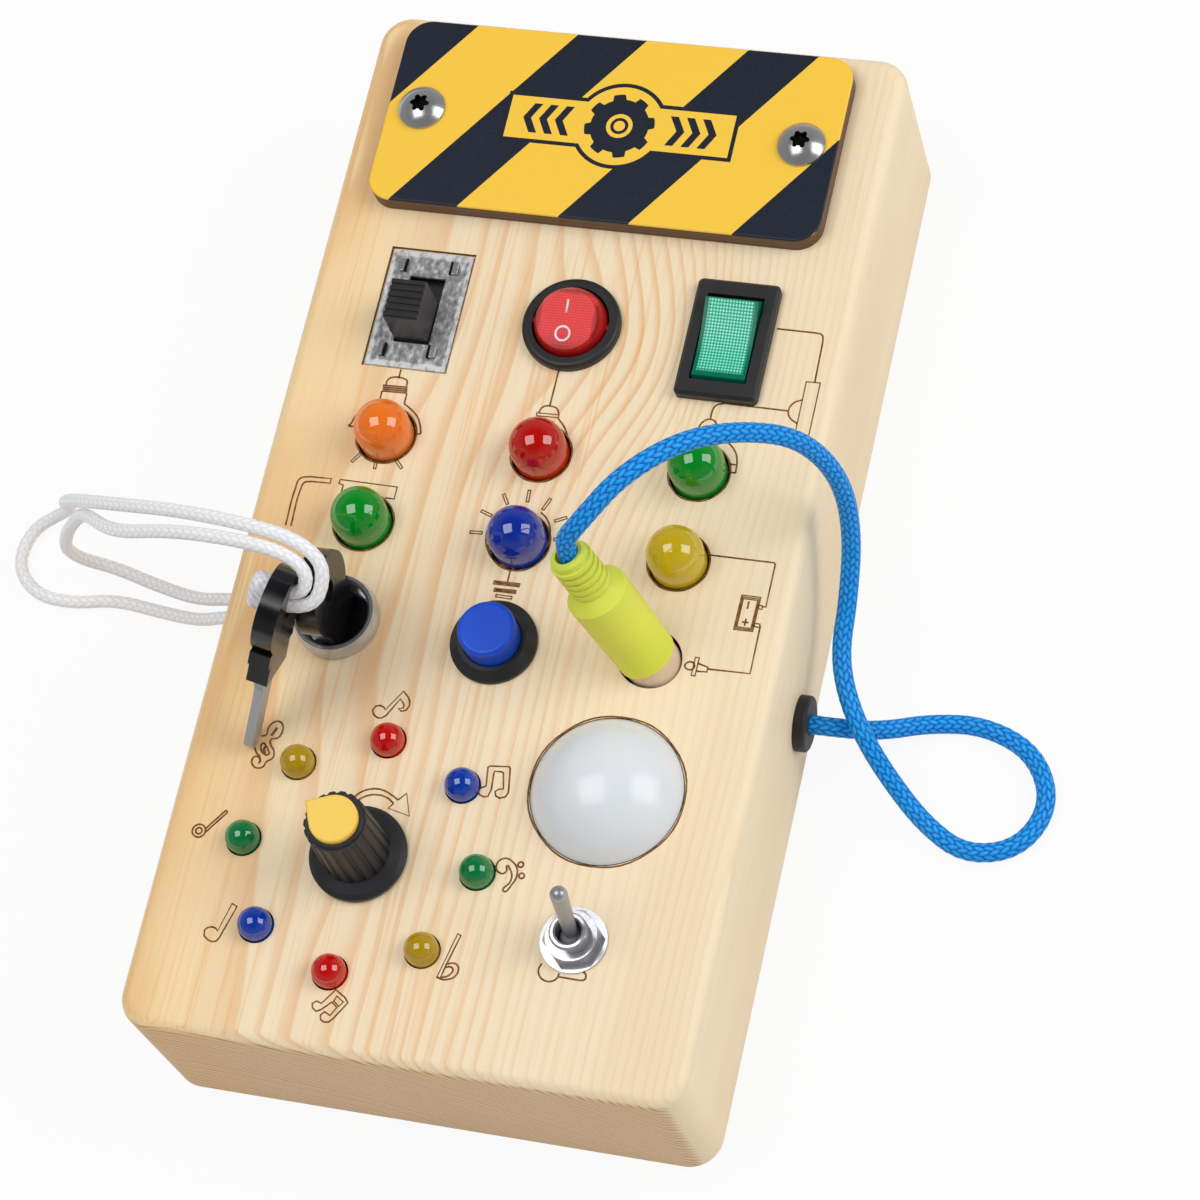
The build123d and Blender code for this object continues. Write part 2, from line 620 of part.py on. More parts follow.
# ---------------------------------------------------------------- slide switch
# Plated steel frame sunk in a pocket, a moulded base behind it and a ribbed lever that
# stands at the lower end of its window.
slide_top = -SLIDE_RECESS
with BuildPart() as slide_switch_frame:
    with BuildSketch(at(-COLUMN_X, SWITCH_Y, slide_top)):
        Rectangle(SLIDE_PLATE_W, SLIDE_PLATE_L)
        Rectangle(SLIDE_WINDOW_W, SLIDE_WINDOW_L, mode=Mode.SUBTRACT)
    extrude(amount=-SLIDE_PLATE_T)
slide_switch_frame.part.label = "slide_switch_frame"
export_step(slide_switch_frame.part, "parts/slide_switch_frame.step")

slide_body_top = slide_top - SLIDE_PLATE_T
carriage_w = SLIDE_BODY_W - 2 * SLIDE_BODY_WALL - 2 * SLIDE_GAP
carriage_l = LEVER_L + 2 * CARRIAGE_LAP
carriage_top = slide_body_top - SLIDE_GAP
lever_y = SWITCH_Y - SLIDE_TRAVEL / 2
with BuildPart() as slide_switch_base:
    with BuildSketch(at(-COLUMN_X, SWITCH_Y, slide_body_top)):
        Rectangle(SLIDE_BODY_W, SLIDE_BODY_L)
    extrude(amount=-SLIDE_BODY_H)
    with BuildSketch(at(-COLUMN_X, SWITCH_Y, slide_body_top)):
        Rectangle(SLIDE_BODY_W - 2 * SLIDE_BODY_WALL, SLIDE_BODY_L - 2 * SLIDE_BODY_WALL)
    extrude(amount=-CARRIAGE_H - 2 * SLIDE_GAP, mode=Mode.SUBTRACT)
slide_switch_base.part.label = "slide_switch_base"
export_step(slide_switch_base.part, "parts/slide_switch_base.step")

with BuildPart() as slide_switch_lever:
    with BuildSketch(at(-COLUMN_X, lever_y, carriage_top)):
        Rectangle(carriage_w, carriage_l)
    extrude(amount=-CARRIAGE_H)
    with BuildSketch(at(-COLUMN_X, lever_y, carriage_top - CARRIAGE_H)):
        Rectangle(LEVER_W, LEVER_L)
    extrude(amount=LEVER_H - LEVER_RIB_H - carriage_top + CARRIAGE_H)
    with BuildSketch(at(-COLUMN_X, lever_y, LEVER_H - LEVER_RIB_H)):
        with GridLocations(0, LEVER_L / LEVER_RIBS, 1, LEVER_RIBS):
            Rectangle(LEVER_W, LEVER_L / LEVER_RIBS * 0.55)
    extrude(amount=LEVER_RIB_H)
slide_switch_lever.part.label = "slide_switch_lever"
export_step(slide_switch_lever.part, "parts/slide_switch_lever.step")

# ---------------------------------------------------------------- round rocker switch
round_axis = Axis((0, SWITCH_Y, FACE + ROUND_PIVOT_Z), (1, 0, 0))
with BuildPart() as round_rocker_housing:
    with BuildSketch(at(0, SWITCH_Y, 0)):
        Circle(ROUND_BEZEL_D / 2)
    extrude(amount=ROUND_BEZEL_H)
    fillet(round_rocker_housing.edges().group_by(Axis.Z)[-1], ROUND_BEZEL_H * 0.5)
    with BuildSketch(at(0, SWITCH_Y, 0)):
        Circle(ROUND_BODY_D / 2)
    extrude(amount=-ROUND_BODY_H)
    with BuildSketch(at(0, SWITCH_Y, ROUND_BEZEL_H)):
        Circle(ROUND_BALL_R + CLEAR)
    extrude(amount=HOUSING_FLOOR - ROUND_BEZEL_H - ROUND_BODY_H, mode=Mode.SUBTRACT)
    with BuildSketch(Plane.YZ):
        with Locations((SWITCH_Y, FACE + ROUND_PIVOT_Z)):
            Circle(ROCKER_PIN_D / 2 + RUN_GAP)
    extrude(amount=ROUND_BODY_D / 2, both=True, mode=Mode.SUBTRACT)
round_rocker_housing.part.label = "round_rocker_housing"
export_step(round_rocker_housing.part, "parts/round_rocker_housing.step")

# The cap is a slice of a ball about its pivot, so it stays clear of the bezel as it tilts.
with BuildPart() as round_rocker_cap:
    with BuildSketch(Plane((0, SWITCH_Y, FACE + ROUND_PIVOT_Z), x_dir=(1, 0, 0), z_dir=(0, -1, 0))):
        with BuildLine():
            face_r = sqrt(ROUND_BALL_R**2 - ROUND_FACE_H**2)
            foot_r = sqrt(ROUND_BALL_R**2 - ROCKER_FOOT**2)
            Line((0, -ROCKER_FOOT), (0, ROUND_FACE_H))
            Line((0, ROUND_FACE_H), (face_r, ROUND_FACE_H))
            ThreePointArc((face_r, ROUND_FACE_H), (ROUND_BALL_R, 0), (foot_r, -ROCKER_FOOT))
            Line((foot_r, -ROCKER_FOOT), (0, -ROCKER_FOOT))
        make_face()
    revolve(axis=Axis((0, SWITCH_Y, 0), (0, 0, 1)))
    with BuildSketch(Plane.YZ):
        with Locations((SWITCH_Y, FACE + ROUND_PIVOT_Z)):
            Circle(ROCKER_PIN_D / 2)
    extrude(amount=ROUND_BODY_D / 2 - CLEAR, both=True)
round_rocker_cap.part = round_rocker_cap.part.rotate(round_axis, ROUND_TILT)
round_rocker_cap.part.label = "round_rocker_cap"
export_step(round_rocker_cap.part, "parts/round_rocker_cap.step")

# ---------------------------------------------------------------- rectangular rocker switch
rect_axis = Axis((COLUMN_X, SWITCH_Y, FACE + RECT_PIVOT_Z), (1, 0, 0))
with BuildPart() as rect_rocker_housing:
    with BuildSketch(at(COLUMN_X, SWITCH_Y, 0)):
        RectangleRounded(RECT_BEZEL_W, RECT_BEZEL_L, RECT_BEZEL_R)
    extrude(amount=RECT_BEZEL_H)
    chamfer(rect_rocker_housing.edges().group_by(Axis.Z)[-1], RECT_BEZEL_CHAMFER)
    with BuildSketch(at(COLUMN_X, SWITCH_Y, 0)):
        Rectangle(RECT_BODY_W, RECT_BODY_L)
    extrude(amount=-RECT_BODY_H)
    with BuildSketch(at(COLUMN_X, SWITCH_Y, RECT_BEZEL_H)):
        Rectangle(RECT_OPEN_W, RECT_OPEN_L)
    extrude(amount=HOUSING_FLOOR - RECT_BEZEL_H - RECT_BODY_H, mode=Mode.SUBTRACT)
    with BuildSketch(Plane.YZ.offset(COLUMN_X)):
        with Locations((SWITCH_Y, FACE + RECT_PIVOT_Z)):
            Circle(ROCKER_PIN_D / 2 + RUN_GAP)
    extrude(amount=RECT_OPEN_W / 2 + RECT_PIN_REACH + HOLE_GAP, both=True, mode=Mode.SUBTRACT)
rect_rocker_housing.part.label = "rect_rocker_housing"
export_step(rect_rocker_housing.part, "parts/rect_rocker_housing.step")

with BuildPart() as rect_rocker_cap:
    with BuildSketch(Plane.YZ.offset(COLUMN_X)):
        with BuildLine():
            y0 = SWITCH_Y
            z0 = FACE + RECT_PIVOT_Z
            half = sqrt(RECT_END_R**2 - RECT_FACE_H**2)
            foot = sqrt(RECT_END_R**2 - ROCKER_FOOT**2)
            top_z = z0 + RECT_FACE_H
            foot_z = z0 - ROCKER_FOOT
            ThreePointArc((y0 + half, top_z), (y0 + RECT_END_R, z0), (y0 + foot, foot_z))
            Line((y0 + foot, foot_z), (y0 - foot, foot_z))
            ThreePointArc((y0 - foot, foot_z), (y0 - RECT_END_R, z0), (y0 - half, top_z))
            ThreePointArc((y0 - half, top_z), (y0, top_z - RECT_FACE_DIP), (y0 + half, top_z))
        make_face()
    extrude(amount=RECT_OPEN_W / 2 - CLEAR, both=True)
    with BuildSketch(Plane.YZ.offset(COLUMN_X)):
        with Locations((SWITCH_Y, FACE + RECT_PIVOT_Z)):
            Circle(ROCKER_PIN_D / 2)
    extrude(amount=RECT_OPEN_W / 2 + RECT_PIN_REACH, both=True)
rect_rocker_cap.part = rect_rocker_cap.part.rotate(rect_axis, RECT_TILT)
rect_rocker_cap.part.label = "rect_rocker_cap"
export_step(rect_rocker_cap.part, "parts/rect_rocker_cap.step")

# Solder terminals of the three switches, in the backs of their housings.
with BuildPart() as switch_terminals:
    with BuildSketch(at(-COLUMN_X, SWITCH_Y, slide_body_top - SLIDE_BODY_H)):
        with GridLocations(0, SLIDE_PIN_PITCH, 1, 3):
            Rectangle(SLIDE_PIN_W, TERMINAL_T)
    extrude(amount=-TERMINAL_L)
    with BuildSketch(at(0, SWITCH_Y, -ROUND_BODY_H)):
        with GridLocations(0, ROUND_PIN_PITCH, 1, 2):
            Rectangle(TERMINAL_W, TERMINAL_T)
    extrude(amount=-TERMINAL_L)
    with BuildSketch(at(COLUMN_X, SWITCH_Y, -RECT_BODY_H)):
        with GridLocations(0, RECT_PIN_PITCH, 1, 3):
            Rectangle(TERMINAL_W, TERMINAL_T)
    extrude(amount=-TERMINAL_L)
switch_terminals.part.label = "switch_terminals"
export_step(switch_terminals.part, "parts/switch_terminals.step")

# ---------------------------------------------------------------- push button
cap_foot = PUSH_CAP_TOP - PUSH_CAP_L
cap_stop = cap_foot + PUSH_CAP_LIP + CLEAR
spring_floor = PUSH_FLOOR - PUSH_BODY_H
with BuildPart() as push_button_housing:
    with BuildSketch(Plane((0, PUSH_Y, FACE), x_dir=(1, 0, 0), z_dir=(0, -1, 0))):
        with BuildLine():
            bore = PUSH_CAP_D / 2 + SLIDE_GAP
            cavity = PUSH_BODY_D / 2 - PUSH_BODY_WALL
            Polyline((bore, PUSH_FLANGE_H), (bore + PUSH_FLANGE_RIM, PUSH_FLANGE_H),
                     (PUSH_FLANGE_D / 2, PUSH_FLANGE_EDGE), (PUSH_FLANGE_D / 2, 0),
                     (PUSH_BODY_D / 2, 0), (PUSH_BODY_D / 2, -PUSH_BODY_H),
                     (0, -PUSH_BODY_H), (0, spring_floor), (cavity, spring_floor),
                     (cavity, cap_stop), (bore, cap_stop), close=True)
        make_face()
    revolve(axis=Axis((0, PUSH_Y, 0), (0, 0, 1)))
push_button_housing.part.label = "push_button_housing"
export_step(push_button_housing.part, "parts/push_button_housing.step")

with BuildPart() as push_button_cap:
    with BuildSketch(at(0, PUSH_Y, cap_foot)):
        Circle(PUSH_CAP_D / 2)
    extrude(amount=PUSH_CAP_TOP - cap_foot)
    fillet(push_button_cap.edges().group_by(Axis.Z)[-1], PUSH_CAP_R)
    with BuildSketch(at(0, PUSH_Y, cap_foot)):
        Circle(PUSH_BODY_D / 2 - PUSH_BODY_WALL - SLIDE_GAP)
    extrude(amount=PUSH_CAP_LIP)
push_button_cap.part.label = "push_button_cap"
export_step(push_button_cap.part, "parts/push_button_cap.step")

with BuildPart() as push_button_spring:
    with BuildLine():
        coil_base = FACE + spring_floor + SPRING_WIRE / 2
        coil_h = cap_foot - spring_floor - SPRING_WIRE
        coil = Helix(pitch=SPRING_PITCH, height=coil_h, radius=SPRING_R, center=(0, PUSH_Y, coil_base))
    with BuildSketch(Plane(coil @ 0, z_dir=coil % 0)):
        Circle(SPRING_WIRE / 2)
    sweep(is_frenet=True)
push_button_spring.part.label = "push_button_spring"
export_step(push_button_spring.part, "parts/push_button_spring.step")

with BuildPart() as push_button_nut:
    with BuildSketch(at(0, PUSH_Y, -FRONT_WALL)):
        RegularPolygon(PUSH_NUT_AF / 2, 6, major_radius=False)
        Circle(PUSH_BODY_D / 2, mode=Mode.SUBTRACT)
    extrude(amount=-PUSH_NUT_T)
push_button_nut.part.label = "push_button_nut"
export_step(push_button_nut.part, "parts/push_button_nut.step")

# ---------------------------------------------------------------- key lock
with BuildPart() as lock_housing:
    with BuildSketch(Plane((LOCK_X, LOCK_Y, FACE), x_dir=(1, 0, 0), z_dir=(0, -1, 0))):
        with BuildLine():
            bore = LOCK_CYL_D / 2 + RUN_GAP
            recess = LOCK_RECESS_D / 2
            Polyline((recess, -LOCK_RECESS), (recess, LOCK_RING_H - LOCK_RING_BEVEL),
                     (recess + LOCK_RING_BEVEL, LOCK_RING_H),
                     (recess + LOCK_RING_BEVEL + LOCK_RING_LAND, LOCK_RING_H),
                     (LOCK_RING_D / 2, LOCK_RING_EDGE), (LOCK_RING_D / 2, 0), (LOCK_BODY_D / 2, 0),
                     (LOCK_BODY_D / 2, -LOCK_BODY_H), (bore, -LOCK_BODY_H), (bore, -LOCK_RECESS), close=True)
        make_face()
    revolve(axis=Axis((LOCK_X, LOCK_Y, 0), (0, 0, 1)))
lock_housing.part.label = "lock_housing"
export_step(lock_housing.part, "parts/lock_housing.step")

with BuildPart() as lock_nut:
    with BuildSketch(at(LOCK_X, LOCK_Y, -FRONT_WALL)):
        RegularPolygon(LOCK_NUT_AF / 2, 6, major_radius=False, rotation=30)
        Circle(LOCK_BODY_D / 2, mode=Mode.SUBTRACT)
    extrude(amount=-LOCK_NUT_T)
lock_nut.part.label = "lock_nut"
export_step(lock_nut.part, "parts/lock_nut.step")

keyway_floor = -LOCK_RECESS - BLADE_L - KEY_TIP_ROOM
tail_top = -LOCK_BODY_H - HOLE_GAP
with BuildPart() as lock_cylinder:
    with BuildSketch(at(LOCK_X, LOCK_Y, -LOCK_RECESS)):
        Circle(LOCK_CYL_D / 2)
    extrude(amount=tail_top + LOCK_RECESS)
    with BuildSketch(at(LOCK_X, LOCK_Y, tail_top)):
        Circle(LOCK_CYL_D / 2 + LOCK_TAIL_RIM)
    extrude(amount=-LOCK_TAIL)
    with BuildSketch(at(LOCK_X, LOCK_Y, -LOCK_RECESS)):
        Rectangle(BLADE_T + 2 * SLIDE_GAP, BLADE_W + 2 * SLIDE_GAP)
    extrude(amount=keyway_floor + LOCK_RECESS, mode=Mode.SUBTRACT)
lock_cylinder.part.label = "lock_cylinder"
export_step(lock_cylinder.part, "parts/lock_cylinder.step")

# ---------------------------------------------------------------- keys
# Local x runs from the tip of the blade to the top of the head; the head lies in local xy.
head_x = BLADE_L + KEY_HEAD_C
eye_x = head_x + KEY_EYE_C
collar_x = BLADE_L + KEY_NECK_L + KEY_WAIST_L + KEY_COLLAR_L / 2


def make_key(plane):
    """One key: a steel blade in a moulded head with stepped shoulders and a long eye."""
    with BuildPart() as key:
        with BuildSketch(plane):
            with BuildLine():
                root = BLADE_L + BLADE_ROOT
                cut = BLADE_W / 2 - BLADE_CUT
                Polyline((0, -BLADE_TIP), (BLADE_POINT, -BLADE_W / 2), (root, -BLADE_W / 2),
                         (root, BLADE_W / 2), (BLADE_L - BLADE_HEEL, BLADE_W / 2),
                         (BLADE_L - BLADE_HEEL - BLADE_CUT, cut), (BLADE_POINT, cut),
                         (0, BLADE_TIP / 2), close=True)
            make_face()
        extrude(amount=BLADE_T / 2, both=True)
        with BuildSketch(plane):
            with Locations((BLADE_L + KEY_NECK_L / 2, 0)):
                Rectangle(KEY_NECK_L, KEY_NECK_W)
            with Locations((BLADE_L + KEY_NECK_L + KEY_WAIST_L / 2, 0)):
                Rectangle(KEY_WAIST_L, KEY_WAIST_W)
            with Locations((head_x, 0)):
                Circle(KEY_HEAD_R)
            with Locations((collar_x, 0)):
                Rectangle(KEY_COLLAR_L, KEY_NECK_W)
            with Locations((eye_x, 0)):
                SlotOverall(KEY_EYE_L, KEY_EYE_W, mode=Mode.SUBTRACT)
        extrude(amount=KEY_HEAD_T / 2, both=True)
    return key


key_tip_z = FACE - LOCK_RECESS + CLEAR - BLADE_L
key_plane = Plane((LOCK_X, LOCK_Y, key_tip_z), x_dir=(0, 0, 1), z_dir=(1, 0, 0))
inserted_key = make_key(key_plane)
inserted_key.part.label = "inserted_key"
export_step(inserted_key.part, "parts/inserted_key.step")

spare_tip = Vector(*SPARE_TIP) + Vector(LOCK_X, LOCK_Y, FACE)
spare_eye = Vector(*SPARE_EYE) + Vector(LOCK_X, LOCK_Y, FACE)
spare_dir = (spare_eye - spare_tip).normalized()
spare_normal = (Vector(1, 0, 0) - spare_dir * spare_dir.X).normalized()
spare_plane = Plane(spare_eye - spare_dir * eye_x, x_dir=spare_dir, z_dir=spare_normal)
spare_key = make_key(spare_plane)
spare_key.part.label = "spare_key"
export_step(spare_key.part, "parts/spare_key.step")

# The two white cords run through the spare key's eye and end in this knot behind it.
knot_face = -KEY_HEAD_T / 2 - KNOT_GAP
with BuildPart() as key_cord_knot:
    with BuildSketch(spare_plane.offset(knot_face)):
        with Locations((eye_x, 0)):
            SlotOverall(KNOT_L, KNOT_W)
    extrude(amount=-KNOT_T)
    fillet(key_cord_knot.faces().sort_by(Axis.X)[0].edges(), KNOT_R)
key_cord_knot.part.label = "key_cord_knot"
export_step(key_cord_knot.part, "parts/key_cord_knot.step")

# ---------------------------------------------------------------- toggle switch
with BuildPart() as toggle_body:
    with BuildSketch(at(TOGGLE_X, TOGGLE_Y, -FRONT_WALL)):
        Rectangle(TOGGLE_BODY_W, TOGGLE_BODY_L)
    extrude(amount=-TOGGLE_BODY_H)
    with BuildSketch(at(TOGGLE_X, TOGGLE_Y, -FRONT_WALL - TOGGLE_BODY_H)):
        with GridLocations(0, SLIDE_PIN_PITCH, 1, 3):
            Rectangle(SLIDE_PIN_W, TERMINAL_T)
    extrude(amount=-TERMINAL_L)
toggle_body.part.label = "toggle_body"
export_step(toggle_body.part, "parts/toggle_body.step")

bore_floor = TOGGLE_PIVOT_Z - TOGGLE_BALL_R - CLEAR
with BuildPart() as toggle_bushing:
    with BuildSketch(at(TOGGLE_X, TOGGLE_Y, -FRONT_WALL)):
        Circle(BUSHING_D / 2)
    extrude(amount=FRONT_WALL + BUSHING_TOP)
    chamfer(toggle_bushing.edges().group_by(Axis.Z)[-1], BUSHING_CHAMFER)
    with BuildSketch(at(TOGGLE_X, TOGGLE_Y, bore_floor)):
        Circle(BUSHING_BORE_D / 2)
    extrude(amount=BUSHING_TOP - bore_floor, mode=Mode.SUBTRACT)
    chamfer(toggle_bushing.edges().group_by(Axis.Z)[-1].sort_by(SortBy.RADIUS)[0], BUSHING_CHAMFER)
toggle_bushing.part.label = "toggle_bushing"
export_step(toggle_bushing.part, "parts/toggle_bushing.step")

with BuildPart() as toggle_washer:
    with BuildSketch(at(TOGGLE_X, TOGGLE_Y, 0)):
        Circle(WASHER_D / 2)
        Circle(BUSHING_D / 2, mode=Mode.SUBTRACT)
    extrude(amount=WASHER_T)
toggle_washer.part.label = "toggle_washer"
export_step(toggle_washer.part, "parts/toggle_washer.step")

with BuildPart() as toggle_nut:
    with BuildSketch(at(TOGGLE_X, TOGGLE_Y, WASHER_T)):
        RegularPolygon(TOGGLE_NUT_AF / 2, 6, major_radius=False, rotation=TOGGLE_NUT_TURN)
    extrude(amount=TOGGLE_NUT_T)
    with BuildSketch(at(TOGGLE_X, TOGGLE_Y, WASHER_T + TOGGLE_NUT_T)):
        Circle(TOGGLE_NUT_AF / 2)
    extrude(amount=-TOGGLE_NUT_T, taper=-TOGGLE_NUT_SLOPE, mode=Mode.INTERSECT)
    with BuildSketch(at(TOGGLE_X, TOGGLE_Y, WASHER_T)):
        Circle(BUSHING_D / 2)
    extrude(amount=TOGGLE_NUT_T, mode=Mode.SUBTRACT)
toggle_nut.part.label = "toggle_nut"
export_step(toggle_nut.part, "parts/toggle_nut.step")

toggle_axis = Axis((TOGGLE_X, TOGGLE_Y, FACE + TOGGLE_PIVOT_Z), (1, 0, 0))
with BuildPart() as toggle_lever:
    with BuildSketch(Plane((TOGGLE_X, TOGGLE_Y, FACE + TOGGLE_PIVOT_Z), x_dir=(1, 0, 0), z_dir=(0, -1, 0))):
        with BuildLine():
            neck_z = sqrt(TOGGLE_BALL_R**2 - TOGGLE_STEM_R**2)
            tip_z = TOGGLE_ARM - TOGGLE_TIP_R
            Line((0, TOGGLE_ARM), (0, -TOGGLE_BALL_R))
            CenterArc((0, 0), TOGGLE_BALL_R, -90, 90 + degrees(asin(neck_z / TOGGLE_BALL_R)))
            Line((TOGGLE_STEM_R, neck_z), (TOGGLE_TIP_R, tip_z))
            CenterArc((0, tip_z), TOGGLE_TIP_R, 0, 90)
        make_face()
    revolve(axis=Axis((TOGGLE_X, TOGGLE_Y, 0), (0, 0, 1)))
toggle_lever.part = toggle_lever.part.rotate(toggle_axis, -TOGGLE_TILT)
toggle_lever.part.label = "toggle_lever"
export_step(toggle_lever.part, "parts/toggle_lever.step")

# ---------------------------------------------------------------- rotary switch and knob
shaft_floor = ROTARY_FLOOR - FRONT_WALL - ROTARY_BODY_H
with BuildPart() as rotary_switch:
    with BuildSketch(at(KNOB_X, KNOB_Y, -FRONT_WALL)):
        Rectangle(ROTARY_BODY_W, ROTARY_BODY_W)
    extrude(amount=-ROTARY_BODY_H)
    with BuildSketch(at(KNOB_X, KNOB_Y, -FRONT_WALL)):
        Circle(ROTARY_BUSH_D / 2)
    extrude(amount=FRONT_WALL + ROTARY_BUSH_TOP)
    with BuildSketch(at(KNOB_X, KNOB_Y, shaft_floor)):
        Circle(SHAFT_D / 2 + RUN_GAP)
    extrude(amount=FRONT_WALL + ROTARY_BODY_H, mode=Mode.SUBTRACT)
rotary_switch.part.label = "rotary_switch"
export_step(rotary_switch.part, "parts/rotary_switch.step")

with BuildPart() as rotary_switch_nut:
    with BuildSketch(at(KNOB_X, KNOB_Y, -ROTARY_SINK)):
        RegularPolygon(ROTARY_NUT_AF / 2, 6, major_radius=False)
        Circle(ROTARY_BUSH_D / 2, mode=Mode.SUBTRACT)
    extrude(amount=ROTARY_NUT_T)
rotary_switch_nut.part.label = "rotary_switch_nut"
export_step(rotary_switch_nut.part, "parts/rotary_switch_nut.step")

with BuildPart() as knob_shaft:
    with BuildSketch(at(KNOB_X, KNOB_Y, shaft_floor)):
        Circle(SHAFT_D / 2)
    extrude(amount=SHAFT_TOP - shaft_floor)
knob_shaft.part.label = "knob_shaft"
export_step(knob_shaft.part, "parts/knob_shaft.step")

skirt_top = KNOB_LIFT + KNOB_SKIRT_T
grip_base = skirt_top + KNOB_EDGE
with BuildPart() as knob:
    with BuildSketch(Plane((KNOB_X, KNOB_Y, FACE), x_dir=(1, 0, 0), z_dir=(0, -1, 0))):
        with BuildLine():
            Polyline((0, KNOB_LIFT), (KNOB_SKIRT_D / 2, KNOB_LIFT), (KNOB_SKIRT_D / 2, KNOB_LIFT + KNOB_EDGE),
                     (KNOB_SKIRT_D / 2 - KNOB_EDGE, skirt_top), (KNOB_BASE_R, grip_base), (0, grip_base),
                     close=True)
        make_face()
    revolve(axis=Axis((KNOB_X, KNOB_Y, 0), (0, 0, 1)))
    with BuildSketch(at(KNOB_X, KNOB_Y, grip_base)):
        Circle(KNOB_BASE_R)
        with PolarLocations(KNOB_BASE_R + KNOB_FLUTE_R * 0.3, KNOB_FLUTES):
            Circle(KNOB_FLUTE_R, mode=Mode.SUBTRACT)
    with BuildSketch(at(KNOB_X, KNOB_Y, KNOB_TOP - KNOB_CROWN)):
        Circle(KNOB_TOP_R)
        with PolarLocations(KNOB_TOP_R + KNOB_FLUTE_R * 0.3, KNOB_FLUTES):
            Circle(KNOB_FLUTE_R * 0.85, mode=Mode.SUBTRACT)
    loft(ruled=True)
    with BuildSketch(at(KNOB_X, KNOB_Y, KNOB_TOP - KNOB_CROWN)):
        Circle(KNOB_TOP_R - KNOB_FLUTE_R * 0.75)
    extrude(amount=KNOB_CROWN)
    chamfer(knob.edges().group_by(Axis.Z)[-1], KNOB_CROWN * 0.6)
    with BuildSketch(at(KNOB_X, KNOB_Y, KNOB_TOP)):
        Circle(POINTER_R + POINTER_GAP)
    extrude(amount=-POINTER_SINK, mode=Mode.SUBTRACT)
    with BuildSketch(at(KNOB_X, KNOB_Y, 0)):
        Circle(SHAFT_D / 2)
    extrude(amount=SHAFT_TOP, mode=Mode.SUBTRACT)
knob.part.label = "knob"
export_step(knob.part, "parts/knob.step")

with BuildPart() as knob_pointer:
    with BuildSketch(at(KNOB_X, KNOB_Y, KNOB_TOP - POINTER_SINK)):
        Circle(POINTER_R)
    extrude(amount=POINTER_SINK)
    with BuildSketch(at(KNOB_X, KNOB_Y, KNOB_TOP).rotated((0, 0, POINTER_ANGLE))):
        Circle(POINTER_R)
        with BuildLine():
            touch_x = POINTER_R**2 / POINTER_TIP
            touch_y = sqrt(POINTER_R**2 - touch_x**2)
            Polyline((touch_x, touch_y), (POINTER_TIP, 0), (touch_x, -touch_y), (0, 0), close=True)
        make_face()
    extrude(amount=POINTER_T - POINTER_SINK)
    fillet(knob_pointer.faces().sort_by(Axis.Z)[-1].edges(), POINTER_EDGE_R)
knob_pointer.part.label = "knob_pointer"
export_step(knob_pointer.part, "parts/knob_pointer.step")


# ---------------------------------------------------------------- lamps
def make_lamps(spots, diameter, flange, ball_z):
    """Domed lamps of one colour: ball top, straight body, flange behind the wall and two legs."""
    radius = diameter / 2
    foot = -FRONT_WALL - LAMP_FOOT
    flange_back = -FRONT_WALL - LAMP_FLANGE_T
    with BuildPart() as lamps:
        for x, y in spots:
            with BuildSketch(Plane((x, y, FACE), x_dir=(1, 0, 0), z_dir=(0, -1, 0))):
                with BuildLine():
                    Line((0, ball_z + radius), (0, foot))
                    Polyline((0, foot), (radius, foot), (radius, flange_back), (flange / 2, flange_back),
                             (flange / 2, -FRONT_WALL), (radius, -FRONT_WALL), (radius, ball_z))
                    CenterArc((0, ball_z), radius, 0, 90)
                make_face()
            revolve(axis=Axis((x, y, 0), (0, 0, 1)))
            with BuildSketch(Plane((x, y, PCB_FRONT))):
                with GridLocations(LEG_PITCH, 0, 2, 1):
                    Circle(LEG_D / 2)
            extrude(amount=-PCB_T - LEG_OUT)
    return lamps


LAMP_SETS = {
    "lamp_orange": [lamp_spots[0]],
    "lamp_red": [lamp_spots[1]],
    "lamps_green": [lamp_spots[2], lamp_spots[3]],
    "lamp_blue": [lamp_spots[4]],
    "lamp_yellow": [lamp_spots[5]],
}
for name, spots in LAMP_SETS.items():
    lamps = make_lamps(spots, LAMP_D, LAMP_FLANGE_D, LAMP_BALL_Z)
    lamps.part.label = name
    export_step(lamps.part, f"parts/{name}.step")

for i, colour in enumerate(("yellow", "red", "blue", "green")):
    note_lamps = make_lamps(note_spots[i::4], NOTE_LAMP_D, NOTE_LAMP_FLANGE_D, NOTE_LAMP_BALL_Z)
    note_lamps.part.label = f"note_lamps_{colour}"
    export_step(note_lamps.part, f"parts/note_lamps_{colour}.step")

